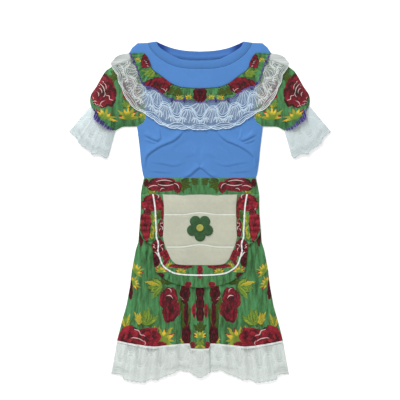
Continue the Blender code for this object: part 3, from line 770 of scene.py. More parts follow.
def jerseyMaterial(name, colour, corner=None):
    material, inputs = startMaterial(name, 0.9, 0.12)
    cloth = uvPlace("cloth")
    knit = useGroup("knit", Vector=cloth, Wales=95.0)
    tone = useGroup("tone", Vector=cloth, Amount=0.16)
    if corner:      # painted shade: the inside of the back neck is coloured darker out towards the shoulders, where shade falls
        colour = mixed(smoothStep(abs(split(cloth)[0]), 0.86, 1.22), colour, corner)
    lookOf(inputs, scaled(colour, knit["Shade"] * tone["Shade"]), knit["Height"], 0.00025, 0.55)
    return material


def printMaterial():
    material, inputs = startMaterial("printedCotton", 0.85, 0.05)
    cloth = uvPlace("cloth")
    weave = useGroup("weave", Vector=cloth, Threads=520.0)
    tone = useGroup("tone", Vector=cloth, Amount=0.42)
    wash = noise(stretched(cloth, (9.0, 1.5, 1.0)), 1.0, 5.0, 0.66)[0]
    colour = ramp(wash, (0.22, 0.024, 0.055, 0.016), (0.38, 0.038, 0.105, 0.034), (0.49, 0.058, 0.190, 0.064),
                  (0.60, 0.076, 0.262, 0.098), (0.85, 0.12, 0.37, 0.16))
    for kind in ("leaf", "bloom", "rose"):
        motif = useGroup(kind, Place=uvPlace(kind))
        colour = mixed(motif["Mask"], colour, motif["Color"])
    stroke = useGroup("stroke", Place=uvPlace("stroke"))
    colour = mixed(stroke["Mask"] * 0.9, colour, (0.74, 0.56, 0.53))
    lookOf(inputs, scaled(colour, weave["Shade"] * tone["Shade"]), weave["Height"], 0.00018, 0.6)
    return material


def plainMaterial(name, colour, threads, amount, rough, sheen=0.05):
    material, inputs = startMaterial(name, rough, sheen)
    cloth = uvPlace("cloth")
    weave = useGroup("weave", Vector=cloth, Threads=threads)
    tone = useGroup("tone", Vector=cloth, Amount=amount)
    lookOf(inputs, scaled(colour, weave["Shade"] * tone["Shade"]), weave["Height"], 0.0002, 0.6)
    return material


def laceMaterial(name, colour, aside, net, fill, low, rise, relief, plainFrom=99.0, edge=0.0):
    material, inputs = startMaterial(name, 0.8, 0.1)
    strip, cloth = uvPlace("strip"), uvPlace("cloth")
    design = useGroup("lace", Strip=strip, Net=net, Fill=fill, PlainFrom=plainFrom)
    tone = useGroup("tone", Vector=cloth, Amount=0.10)
    rim = smoothStep(split(strip)[1], 0.93, 0.975)      # painted shade: the lace is coloured darker along its cut edge, where shade falls at the scallops
    shade = tone["Shade"] * (low + design["Cord"] * rise) * (1.0 - rim * edge)
    # over the bodice the blue shows through the threads
    away = smoothStep(abs(split(cloth)[0]), 1.62, 1.95)
    colour = mixed(larger(design["Plain"], away), colour, aside)
    feed(design["Cover"], inputs["Alpha"])
    lookOf(inputs, scaled(colour, shade), design["Cord"], relief, 0.7)
    return material


def feltMaterial(name, colour, fleck):
    material, inputs = startMaterial(name, 0.95, 0.35)
    place = outputsOf(addNode("TexCoord"))["Object"]
    nap = noise(place, 900.0, 4.0, 0.7)[0]
    patch = noise(place, 60.0, 3.0, 0.6)[0]
    lookOf(inputs, mixed(smoothStep(nap * 0.5 + patch * 0.5, 0.38, 0.62), colour, fleck), nap, 0.0009, 0.7)
    return material


def threadMaterial(name, colour):
    material, inputs = startMaterial(name, 0.6, 0.1)
    twist = noise(outputsOf(addNode("TexCoord"))["Object"], 1400.0, 2.0, 0.6)[0]
    lookOf(inputs, scaled(colour, 0.75 + twist * 0.5), twist, 0.0003, 0.6)
    return material


# Materials by look, each with the slot that it fills and the thickness of its cloth
jerseyLook, laceLook = ("blue_jersey", dress["jersey"]), ("white_lace", dress["lace"])
ribbonWeave = plainMaterial("whiteRibbon", (0.80, 0.82, 0.80), 700.0, 0.05, 0.55, 0.15)
finish = {
    "jersey": (jerseyMaterial("blueJersey", (0.081, 0.229, 0.552)), *jerseyLook),
    # painted shade: a darker copy of the blue jersey for the inside of the back neck, which lies in shade
    "jerseyPaintedShade": (jerseyMaterial("blueJerseyPaintedShade", (0.060, 0.172, 0.465), (0.012, 0.045, 0.230)),
                     *jerseyLook),
    "jerseyBand": (jerseyMaterial("blueJerseyBand", (0.072, 0.205, 0.500)), *jerseyLook),
    "print": (printMaterial(), "flower_print", dress["cotton"]),
    "yokeLace": (laceMaterial("yokeLaceThread", (0.63, 0.79, 0.95), (0.72, 0.775, 0.76),
                              0.100, 0.150, 0.56, 0.44, 0.0006, plainFrom=4.66), *laceLook),
    "edgeLace": (laceMaterial("edgeLaceThread", (0.725, 0.785, 0.750), (0.74, 0.805, 0.772),
                              0.30, 0.40, 0.89, 0.14, 0.0003, edge=0.16), *laceLook),
    "cuffLace": (laceMaterial("cuffLaceThread", (0.675, 0.765, 0.775), (0.675, 0.765, 0.775),
                              0.30, 0.40, 0.91, 0.11, 0.0003, edge=0.10), *laceLook),
    "beige": (plainMaterial("beigeCotton", (0.520, 0.530, 0.420), 430.0, 0.26, 0.85), "beige_cotton", 0.9),
    "piping": (ribbonWeave, "white_ribbon", dress["cotton"]),
    "ribbon": (ribbonWeave, "white_ribbon", dress["ribbon"]),
    "tuck": (plainMaterial("paleTuck", (0.66, 0.69, 0.62), 430.0, 0.10, 0.8), "white_ribbon", dress["ribbon"]),
    "greenFelt": (feltMaterial("greenFelt", (0.025, 0.070, 0.026), (0.040, 0.110, 0.040)), "green_felt", None),
    "yellowFelt": (feltMaterial("yellowFelt", (0.28, 0.29, 0.05), (0.42, 0.42, 0.09)), "yellow_felt", None),
}
threads = {name: threadMaterial(name + "Thread", colour) for name, colour in (
    ("violet", (0.24, 0.15, 0.60)), ("blue", (0.045, 0.13, 0.36)), ("darkViolet", (0.045, 0.035, 0.16)),
    ("darkGreen", (0.030, 0.040, 0.022)), ("grey", (0.15, 0.16, 0.17)), ("white", (0.80, 0.82, 0.80)))}
print("materials made")


# Bodice and neckbands
frontBand = [(136, 0, 164, 3.5), (131, 14, 153, 25), (116, 27, 132, 47.5), (90, 42, 98.5, 69.5),
             (62, 55, 65.5, 80.5), (32, 60.5, 33, 85), (0, 61, 0, 85.5)]
backBand = [(136, 0, 164, 3.5), (122, 7, 138, 29), (100, 16, 108, 40), (76.5, 23, 81, 48),
            (43.5, 28.5, 46, 54), (0, 31, 0, 56)]


def hangPanel(top, side, waist, fade=2.5):
    start = side[0]
    left = (1 - (side[:, 1] - start[1]) / (waist - start[1])) ** fade
    out = top[None, :, 0] * side[:, None, 0] / start[0]
    return together(out, side[:, None, 1] + (top[None, :, 1] - start[1]) * left[:, None])


def addBodice():
    for name, band, raised in (("bodiceBack", backBand, False), ("bodiceFront", frontBand, True)):
        neck = np.array([row[2:] for row in band[::-1]], float)
        # the back runs in under its turned edge
        neck[:, 1] += dress["seamGap"] if raised else -3.0 * ease((neck[:, 1] - 12) / 24)
        neck[1:, 0] += dress["seamGap"]
        top = joinLines(curveThrough(neck), np.vstack([neck[-1:], shoulder[1:]]))
        side = joinLines(curveThrough(armhole), curveThrough(sideSeam))
        upper, lower = bodice["rows" if raised else "backRows"]
        armpit = bodice["armpit"]
        shares = np.concatenate([np.linspace(0, armpit, upper, endpoint=False), np.linspace(armpit, 1, lower)])
        across = even(bodice["columns" if raised else "backColumns"])
        points = hangPanel(readAt(top, across), readAt(side, shares), dress["waist"])
        height = bodiceHeight(points) if raised else backHeight(points)
        piece = addCloth(name, points, height, "jersey", "bodice_front" if raised else "bodice_back")


def stripLines(table, steps):      # the inner, middle and outer lines of a band
    return [curveThrough([row[k:k + 2] for row in table], steps) for k in range(0, len(table[0]), 2)]


def addNeckbands():
    for name, band, raised in (("neckbandBack", backBand, False), ("neckbandFront", frontBand, True)):
        inner, edge = stripLines(band, 8)
        across = even(9)[:, None]
        points = inner[None] + (edge - inner)[None] * across[..., None]
        height = 1.2 * ease((across - 0.45) / 0.3)
        if raised:
            groove = 0.5 * np.exp(-((across - 0.82) / 0.08) ** 2)
            height = baseHeight(points) + 0.9 * np.sin(math.pi * across) ** 0.6 - groove
        look, node = ("jerseyBand", "neckband_front") if raised else ("jerseyPaintedShade", "neckband_back")
        piece = addCloth(name, points, height, look, node)
        line = readAt((inner + (edge - inner) * 0.82), np.linspace(0.02, 1, 150))
        path = layOut(line, (baseHeight(line) if raised else 1.2) + dress["jersey"] + 0.25)
        stitches = [path[k:k + 2] for k in range(0, len(path) - 1, 2)]
        addThread(name + "Stitches", mirrored(stitches), 0.42, "blue")
        if raised:      # the rolled neck edge as a dark blue cord, which paints the shadow between the front and the back
            roll = readAt(inner, np.linspace(0.16, 1, 60))
            addThread("neckEdge", mirrored([layOut(roll, baseHeight(roll) + 0.6)]), 0.85, "blue")


addBodice()
addNeckbands()
print("bodice made")

# Sleeves and cuffs
cuffSeam = [(344, 201), (329, 222), (331, 238), (320, 252), (304, 264), (287, 276), (265, 280)]
cuffHem = [(413, 283), (402, 292), (389, 303), (381, 321), (364, 333), (347, 345), (340, 356), (323, 354),
           (308, 361), (296, 368), (287, 358)]
# A motif: kind, place, half width and height, turn, and tone (a rose 1 dark, 3 bright; a leaf 1 dark, 2 gold).
# The dark tone is the print's own, and in fold valleys also painted shade.
sleeve = {
    "rows": 64, "columns": 60, "gathers": 13, "gatherHeight": 2.6, "armholeGathers": 9, "armholeHeight": 1.6,
    "seamGap": 0.8, "notch": (50, 10, 34), "notchTurns": 200, "sewnRow": -7,
    "motifs": [("rose", 302, 160, 44, 58, 0, 2), ("leaf", 277, 114, 16, 19, -20, 1),
               ("leaf", 230, 196, 14, 16, 0, 0), ("bloom", 296, 228, 31, 19, -20, 0),
               ("bloom", 225, 223, 26, 28, 0, 0), ("bloom", 178, 229, 12, 16, -10, 0),
               ("rose", 216, 156, 30, 50, 15, 3), ("leaf", 262, 100, 20, 22, 20, 1),
               ("leaf", 236, 116, 12, 16, -30, 0)]
    + strokesBetween((297, 161, 314, 131, 5, 0), (302, 177, 297, 159, 4, 0), (293, 152, 300, 131, 3.6, 0),
                     (275, 189, 293, 167, 5.5, 1), (306, 163, 316, 146, 4, 0), (317, 173, 322, 158, 4, 0),
                     (300, 186, 315, 202, 4.5, 0), (304, 206, 319, 203, 3.6, 0), (323, 189, 339, 191, 4, 0),
                     (319, 201, 336, 194, 4, 1), (334, 182, 338, 174, 3, 0), (304, 132, 307, 124, 4, 0),
                     (317, 141, 319, 137, 3.6, 0)),
    # violet overlock and dark bunched stitches at the opening: count, first and last share, reach, radius, lift
    "stitches": [("sleeveGathers", 13, 0.30, 0.97, -0.15, 1.05, 1.8, 0.9, "darkViolet"),
                 ("sleeveMarks", 9, 0.04, 0.3376, -0.25, 0.2, 0.6, 0.6, "darkViolet"),
                 ("sleeveOverlock", 34, 0.24, 0.97, -0.32, 0.75, 0.65, 0.6, "violet")],
}
cuff = {"rows": 34, "columns": 70, "gathers": 7, "gatherHeight": 1.0, "lift": 7.0, "settle": 0.6,
        "fineGathers": 17, "seamGap": 1.3, "repeat": 62.0}


def patchGrid(top, bottom, inner, outer, columns, rows):
    u, v = np.asarray(columns)[None, :, None], np.asarray(rows)[:, None, None]
    t, b = readAt(top, columns)[None], readAt(bottom, columns)[None]
    l, r = readAt(inner, rows)[:, None], readAt(outer, rows)[:, None]
    corners = (t[:, :1] * (1 - u) + t[:, -1:] * u) * (1 - v) + (b[:, :1] * (1 - u) + b[:, -1:] * u) * v
    return t * (1 - v) + b * v + l * (1 - u) + r * u - corners


def easeNotch(points, row, first, last, turns):      # evens out the grid, so no face folds over at the seam
    part = points[row:, first:last]
    for _ in range(turns):
        part[1:-1, 1:-1] = (part[:-2, 1:-1] + part[2:, 1:-1] + part[1:-1, :-2] + part[1:-1, 2:]) / 4


def foldedShares(count):      # closer together where a flat tube folds
    inner = 0.5 - 0.5 * np.cos(np.linspace(0.16, math.pi - 0.16, count))
    return np.concatenate([[0.0], inner, [1.0]])


def addTubes(name, points, heights, look, node, **extra):      # the right one, then the left one
    heights[:, 0] = heights[:, -1] = dress["fold"]
    upper, under = layOut(points, heights), layOut(points[:, 1:-1], 0)[:, ::-1]
    spots = np.concatenate([upper, under], axis=1)
    return [sewCloth(name + word, spots * np.array([side, 1, 1]), look, node + "_" + word.lower(), closed=True,
                     flip=side == 1, outward=-1, **extra) for word, side in (("Right", 1), ("Left", -1))]


def addSleeves():
    seam = curveThrough(armhole)
    seam = seam + besideLine(seam) * sleeve["seamGap"]
    over, under = (joinLines(np.vstack([end, line[1:2]]), curveThrough(line[1:]))
                   for end, line in ((seam[:1], overArm), (seam[-1:], underArm)))
    columns, rows = foldedShares(sleeve["columns"]), even(sleeve["rows"])
    points = patchGrid(seam, curveThrough(cuffSeam), over, under, columns, rows)
    easeNotch(points, *sleeve["notch"], sleeve["notchTurns"])
    t, s = columns[None, :], rows[:, None]
    edge = rounded(np.minimum(t, 1 - t) * 160, 24)
    phase = t + 0.02 * wander(t * 9, 1.0)
    gather = sleeve["gatherHeight"] * ease((s - 0.62) / 0.38) * waves(sleeve["gathers"], phase)
    held = ease((0.45 - s) / 0.45)
    pleat = sleeve["armholeHeight"] * held * waves(sleeve["armholeGathers"], phase) * ease(s / 0.1)
    roll = 1.1 * (0.6 + 0.4 * wander(t * 14 + s * 3, 3.0)) * np.sin(math.pi * s)
    heights = baseHeight(points) + dress["solidCotton"] + (gather + pleat + roll) * edge
    sewn = [-1, sleeve["sewnRow"]]      # the opening, and a row further in
    openings, levels = points[sewn], heights[sewn]
    for piece in addTubes("sleeve", points, heights, "print", "sleeve", motifs=sleeve["motifs"]):
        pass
    for name, count, first, last, near, far, radius, lift, thread in sleeve["stitches"]:
        paths = []
        for k in range(count):
            share = first + (last - first) * (k + 0.4 * wander(k * 1.0, 2.0)) / count
            start, inner = (readAt(line, share) for line in openings)
            level, deeper = (np.interp(share, columns, row) for row in levels)
            steps = np.linspace(near, far * (0.75 + 0.25 * wander(k * 0.7, 5.0)), 5)[:, None]
            place = start + (inner - start) * steps + np.array([0.5, -0.5]) * (steps - near)
            arch = 0.5 * np.sin(math.pi * np.arange(5) / 4)
            paths.append(layOut(place, level + (deeper - level) * np.maximum(steps[:, 0], 0) + lift + arch))
        addThread(name, mirrored(paths), radius, thread)


def addCuffs():
    seam, hem = curveThrough(cuffSeam), curveThrough(cuffHem)
    columns, rows = foldedShares(cuff["columns"]), even(cuff["rows"])
    first, second = readAt(seam, columns)[None], readAt(hem, columns)[None]
    span = second - first
    reach = np.linalg.norm(span, axis=-1, keepdims=True)
    start = cuff["seamGap"] / reach
    s, t = rows[:, None], columns[None, :]
    ripple = 1.2 * s * wander(t * 26, 5.0) * (t > 0.01) * (t < 0.99)
    points = first + span * (start + (1 - start) * s[..., None]) + span / reach * ripple[..., None]
    edge = rounded(np.minimum(t, 1 - t) * np.linalg.norm(hem[-1] - hem[0]), dress["edgeReach"])
    phase = t + 0.018 * wander(t * 8, 2.0)
    lift = dress["frontLift"] + cuff["lift"] * (1 - cuff["settle"] * s)
    fine = 1.1 * (1 - s) ** 2 * waves(cuff["fineGathers"], phase)
    gather = (0.25 + 0.75 * s) * (0.5 + 0.5 * np.cos(fullTurn * cuff["gathers"] * phase + 0.6 * s))
    heights = dress["rest"] + dress["solidCotton"] + (lift + cuff["gatherHeight"] * gather + fine) * edge
    run = runOf(readAt(seam, columns) * 0.5 + readAt(hem, columns) * 0.5) / cuff["repeat"]
    strip = together(np.concatenate([run, 2 * run[-1] - run[-2:0:-1]])[None, :], s)
    for piece in addTubes("cuffLace", points, heights, "cuffLace", "cuff_lace", strip=strip):
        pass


addSleeves()
addCuffs()
print("sleeves made")

# Yoke: a gathered strip of print with deep lace below it. A row: neck, seam and edge.
yokeRows = [(175.5, 36, 220.5, 36, 226, 37), (172, 41, 216, 46, 255.5, 44), (167, 47, 210, 57, 273, 59),
            (163, 54, 204, 68, 279.5, 76), (157, 67, 197, 88, 262.5, 107), (154, 80, 190, 109, 255, 133),
            (149, 88, 184, 126, 241, 165), (143, 94, 175, 138, 223, 197), (134, 100, 163, 142, 197, 219),
            (124, 107, 149, 147, 165, 235), (112, 116, 128, 158, 142, 253), (92, 131, 106, 174, 112, 269),
            (66, 142, 74, 186, 72, 278), (38, 146, 40, 186, 36, 278), (16, 147.5, 18, 189, 16, 279.5),
            (0, 148, 0, 192, 0, 282)]
yoke = {
    "bunches": [(87, 177, 2, 14), (48, 178, 3, 12), (178, 128, -2, 8), (207, 60, 2, 8), (160, 146, 6, 4)],
    # waves, their height, seed and fine gathers
    "ruffleWaves": (17, 2.8, 1.0, 0.8), "laceWaves": (9, 2.2, 4.0, 0.5), "laceSoft": 14.0,
    "steps": 22, "ruffleRows": 16, "laceRows": 34, "gathers": 260,
    "repeats": 5.0, "overlock": 2.9, "zigzags": 330,
    "motifs": [("rose", 169, 62, 18, 28, 0, 0), ("rose", 131, 138, 47, 29, 0, 0),
               ("rose", 0, 167, 25, 28, 0, 1), ("leaf", 161, 99, 14, 25, 70, 0),
               ("leaf", 66, 160, 12, 22, -85, 1), ("leaf", 90, 152, 12, 20, -60, 1),
               ("bloom", 195, 56, 9, 11, 0, 0), ("bloom", 35, 172, 9, 12, 0, 0),
               ("bloom", 66, 175, 10, 12, 20, 0)]
    + strokesBetween((106, 159, 122, 146, 3, 0), (110, 157, 103, 148, 3, 0), (166, 72, 173, 60, 3, 1),
                     (160, 81, 167, 75, 3, 1)),
}


def unevenWaves(share, count, seed):
    phase = share + 0.35 / count * wander(share * count * 0.5, seed)
    return (0.5 - 0.5 * np.cos(fullTurn * count * phase)) * (0.75 + 0.25 * wander(share * 11, seed + 2))


def yokeStrip(first, last, rows, count, high, seed, fine, soft=0.0):      # a soft one clears the seam above it
    share, down = even(len(first))[None, :], even(rows)[:, None]
    span = last - first
    trim = dress["seamGap"] / 2 / np.linalg.norm(span, axis=1)[None, :, None]
    points = first[None] + span[None] * (down[..., None] * (1 - trim) + (trim if soft else 0))
    gather = high * unevenWaves(share, count, seed) * (0.25 + 0.75 * down)
    tiny = 0.5 + 0.5 * np.cos(fullTurn * count * 3.3 * share + 2 * wander(share * 20, seed))
    under = baseHeight(points, soft) + dress["solidJersey"] + 1.2
    return points, under + gather + fine * tiny * (1 - 0.6 * down)


def addYoke():
    neck, seam, edge = stripLines(yokeRows, yoke["steps"])
    ruffle = yokeStrip(neck, seam, yoke["ruffleRows"], *yoke["ruffleWaves"])
    piece = addCloth("yokeRuffle", *ruffle, "print", "yoke_ruffle", motifs=yoke["motifs"])
    points, height = yokeStrip(seam, edge, yoke["laceRows"], *yoke["laceWaves"], yoke["laceSoft"])
    run = runOf(((seam + edge) / 2)[::-1])
    strip = run / run.max() * yoke["repeats"], even(yoke["laceRows"])[:, None]
    piece = addCloth("yokeLace", points, height, "yokeLace", "yoke_lace", lace=strip)
    # violet overlock over the seam: two zigzags that cross
    shares = even(yoke["zigzags"])
    line = readAt(seam, shares)
    beside = besideLine(line)
    level = np.interp(shares, even(len(seam)), height[0])
    paths = []
    for turn, lift in ((1, 0.9), (-1, 1.3)):
        zigzag = turn * (-1) ** np.arange(len(shares))
        reach = yoke["overlock"] * (0.75 + 0.35 * wander(shares * 60, 2.0)) * zigzag
        paths += mirrored([layOut(line + beside * reach[:, None], level + dress["cotton"] + lift)])
    addThread("yokeOverlock", paths, 0.62, "violet", 4)
    bunches = []
    for out, drop, lean, fall in yoke["bunches"]:
        for shift in (-1.8, 0.0, 1.8):
            ends = np.array([(out + shift + lean * k, drop + fall * k) for k in (0, 0.5, 1)])
            bunches.append(layOut(ends, baseHeight(ends) + dress["solidJersey"] + np.array([4.4, 5.2, 4.6])))
    addThread("yokeBunches", mirrored(bunches), 1.3, "darkViolet")
    # short gathering stitches along the top of the ruffle
    shares = np.linspace(0.03, 1.0, yoke["gathers"])
    line = readAt(neck, shares)
    line = layOut(line, baseHeight(line) + dress["solidJersey"] + 2.6 + 0.5 * wander(shares * 50, 1.0))
    addThread("yokeGathers", mirrored([line[k:k + 4] for k in range(0, len(line) - 3, 4)]), 1.05, "darkGreen")


addYoke()
print("yoke made")

# Waistbands, skirt, hem
band = {
    "rows": 14, "columns": 90, "gathers": 13,
    "motifs": [("rose", 118, 450, 56, 26, 0, 0), ("rose", 72, 458, 16, 20, 0, 0),
               ("leaf", 156, 472, 25, 17, 60, 0), ("leaf", 44, 452, 22, 20, -115, 1),
               ("leaf", 14, 440, 12, 16, -100, 1), ("rose", 168, 445, 10, 14, 0, 1)]
    + strokesBetween((87, 438, 140, 439, 5, 0), (131, 453, 163, 458, 5, 0), (134, 451, 80, 450, 5, 0),
                     (64, 461, 81, 444, 5, 0), (112, 461, 126, 467, 4, 0), (77, 430, 86, 426, 4, 0)),
}
# Dark-tone roses and leaves down the centre, in the valley beside the box pleat and at the crease near out 60
# paint shade into the fold valleys; the long dark leaf at drop 752 is a painted shadow under the ruffle's edge.
skirt["motifs"] = [
    ("rose", 43, 768, 11, 12, 0, 3), ("rose", 98, 816, 31, 49, 0, 0), ("rose", 93, 841, 30, 48, 0, 0),
    ("rose", 43, 856, 8, 48, 0, 1), ("rose", 47, 795, 18, 32, 0, 1), ("leaf", 47, 858, 15, 60, 0, 1),
    ("rose", 42, 924, 17, 36, 0, 1), ("leaf", 62, 820, 6, 40, 0, 1), ("rose", 222, 929, 40, 38, 0, 3),
    ("rose", 166, 934, 47, 40, 0, 3), ("rose", 124, 951, 20, 9, 0, 3), ("rose", 219, 781, 9, 33, 0, 1),
    ("rose", 36, 765, 13, 10, 0, 3), ("rose", 0, 820, 14, 40, 0, 1), ("rose", 19, 846, 7, 25, 0, 3),
    ("rose", 184, 596, 10, 54, 0, 1), ("leaf", 165, 866, 27, 34, -8, 0), ("leaf", 145, 771, 27, 33, 98, 0),
    ("leaf", 193, 868, 13, 27, 14, 2), ("leaf", 128, 930, 16, 22, -40, 0), ("leaf", 232, 877, 14, 27, -5, 0),
    ("leaf", 140, 903, 9, 11, -30, 0), ("leaf", 60, 814, 5, 19, 0, 1), ("leaf", 0, 962, 14, 11, 180, 0),
    ("leaf", 86, 752, 52, 13, 0, 1), ("bloom", 194, 714, 20, 20, -48, 0), ("bloom", 202, 755, 19, 16, -62, 0),
    ("bloom", 104, 921, 31, 33, -40, 0), ("bloom", 0, 918, 16, 16, 0, 0), ("bloom", 57, 936, 9, 13, 50, 0),
    ("rose", 23, 954, 8, 13, 0, 3), ("leaf", 0, 946, 13, 15, 0, 0),
    *strokesBetween((174, 929, 206, 901, 6, 1), (175, 942, 218, 930, 6, 0), (172, 954, 175, 940, 4, 0),
                    (89, 788, 100, 775, 4.5, 0), (85, 806, 105, 798, 6, 0), (52, 814, 62, 802, 3, 1)),
    ("rose", 0, 790, 15, 34, 0, 1), ("rose", 0, 851, 14, 34, 0, 1), ("leaf", 0, 893, 15, 22, 0, 1)]
backPanels["motifs"] = [
    ("rose", 60, 560, 45, 42, 0, 0), ("leaf", 120, 530, 30, 34, 40, 0), ("bloom", 20, 640, 24, 26, 0, 0),
    ("rose", 148, 690, 42, 50, 0, 0), ("leaf", 95, 740, 30, 36, -40, 0), ("bloom", 190, 600, 20, 22, 30, 0),
    ("rose", 45, 840, 46, 52, 0, 0), ("leaf", 120, 850, 30, 34, 60, 0), ("bloom", 175, 800, 24, 26, -20, 0),
    ("rose", 200, 900, 44, 38, 0, 0), ("bloom", 100, 915, 22, 22, 10, 0), ("leaf", 0, 745, 26, 30, 0, 0),
    ("rose", 120, 450, 54, 25, 0, 0), ("leaf", 30, 455, 25, 20, 80, 0),
    *strokesBetween((76, 540, 44, 552, 6, 0), (72, 575, 50, 566, 5, 1), (164, 668, 132, 682, 6, 0),
                    (160, 705, 136, 698, 5, 1), (66, 818, 30, 832, 6, 0), (60, 862, 34, 850, 5, 1),
                    (216, 888, 184, 896, 6, 0), (146, 444, 98, 448, 5, 1))]


def addWaistbands():
    drops = np.linspace(dress["waist"] + dress["seamGap"], dress["bandEnd"], band["rows"])[:, None]
    shares = even(band["columns"])[None, :]
    points = together(shares * halfWidth(drops), drops)
    piece = addCloth("waistbandBack", points, 0, "print", "waistband_back", motifs=backPanels["motifs"])
    down = (drops - dress["waist"]) / (dress["bandEnd"] - dress["waist"])
    seam = 0.9 * np.exp(-((down - 0.12) / 0.12) ** 2)
    ripple = 0.8 * unevenWaves(shares, band["gathers"], 3.0) * (0.3 + 0.7 * down) + seam
    height = baseHeight(points) + ripple * rounded((1 - shares) * 180, 20)
    piece = addCloth("waistbandFront", points, height, "print", "waistband_front", motifs=band["motifs"])


def skirtPoints(shares, downs):
    top = dress["bandEnd"] + dress["seamGap"]
    level = top + (dress["hem"] - top) * downs
    sag = readTable(skirt["sag"], shares) + skirt["boxDrop"] * ease((skirt["boxShare"] - shares) / 0.018 + 0.5)
    return together(shares * halfWidth(level), level + sag * downs)


def addSkirt():
    level = np.linspace(dress["bandEnd"] + dress["seamGap"], dress["hem"], skirt["backRows"])[:, None]
    points = together(even(skirt["backColumns"])[None] * halfWidth(level), level)
    height = backHeight(points) * ease((930 - points[..., 1]) / 60)
    piece = addCloth("skirtBack", points, height, "print", "skirt_back", motifs=backPanels["motifs"])
    shares = np.unique(np.concatenate([np.linspace(*part) for part in skirt["shares"]]))
    points = skirtPoints(shares[None, :], even(skirt["rows"])[:, None])
    height = skirtHeight(points)
    piece = addCloth("skirtFront", points, height, "print", "skirt_front", motifs=skirt["motifs"])
    return points[-1], height[-1]


hem = {
    "rows": 40, "backRows": 22, "backColumns": 90, "out": 280.0, "backOut": 261.0, "waves": 9,
    "waveHeight": 1.2, "fineGathers": 40, "settle": 0.5, "piping": 2.6, "repeat": 66.0, "backStart": 0.37,
    "sewn": (130, 188, 258),
    "edge": [(0, 1060), (8, 1057), (22, 1048.5), (36, 1039), (48, 1040), (66, 1035), (88, 1047), (118, 1058),
             (133, 1066), (157, 1065), (175, 1074), (199, 1073), (219, 1069), (239, 1065), (246, 1051),
             (259, 1047), (280, 1047)],
}


def addHem(points, height):
    steps = even(4)[:, None]
    edge = points[None] + together(0, dress["seamGap"] + hem["piping"] * steps)
    piece = addCloth("hemPiping", edge, height[None] + 0.5 * np.sin(math.pi * steps), "piping", "hem_piping")
    tops = points + np.array([0, hem["piping"] + 2 * dress["seamGap"]])
    out = points[:, 0] / points[-1, 0] * hem["out"]
    lows = together(out, np.interp(out, *curveThrough(hem["edge"], 6).T))
    down = even(hem["rows"])[:, None]
    lace = tops[None] + (lows - tops)[None] * down[..., None]
    settle = rounded(hem["out"] - out, dress["edgeReach"])[None]
    share = (runOf(lows) / runOf(lows)[-1])[None]
    gather = hem["waveHeight"] * (0.15 + 0.85 * down) * unevenWaves(share, hem["waves"], 6.0) * settle
    fine = 1.3 * (1 - down) ** 4 * waves(hem["fineGathers"], share) * settle * ease(down / 0.08)
    lift = dress["rest"] + (height[None] - dress["rest"]) * (1 - hem["settle"] * down) + gather + fine
    strip = runOf((tops + lows) / 2) / hem["repeat"], down
    piece = addCloth("hemLaceFront", lace, lift, "edgeLace", "hem_lace_front", lace=strip)
    # short grey gathering stitches below the piping, and further out a grey cord along it, a painted shadow
    # under the piping
    sewn = layOut(lace, lift + dress["lace"] + 0.2)
    inner, middle, outer = hem["sewn"]
    stitches = [sewn[1, (points[:, 0] > middle) & (points[:, 0] < outer)]]
    stitches += [sewn[1:4, k] for k in np.nonzero((points[:, 0] > inner) & (points[:, 0] < middle))[0][::2]]
    addThread("hemStitches", mirrored(stitches), 0.55, "grey")
    shares = even(hem["backColumns"])
    tops = together(shares * hem["backOut"], dress["hem"] + dress["seamGap"])
    lows = together(shares * hem["out"], 1028 + 19 * shares ** 2 + 2.5 * np.abs(np.sin(shares * 28)))
    down = even(hem["backRows"])[:, None]
    strip = runOf((tops + lows) / 2) / hem["repeat"] + hem["backStart"], down
    lace = tops[None] + (lows - tops)[None] * down[..., None]
    piece = addCloth("hemLaceBack", lace, 0, "edgeLace", "hem_lace_back", lace=strip)


addWaistbands()
addHem(*addSkirt())
print("skirt made")

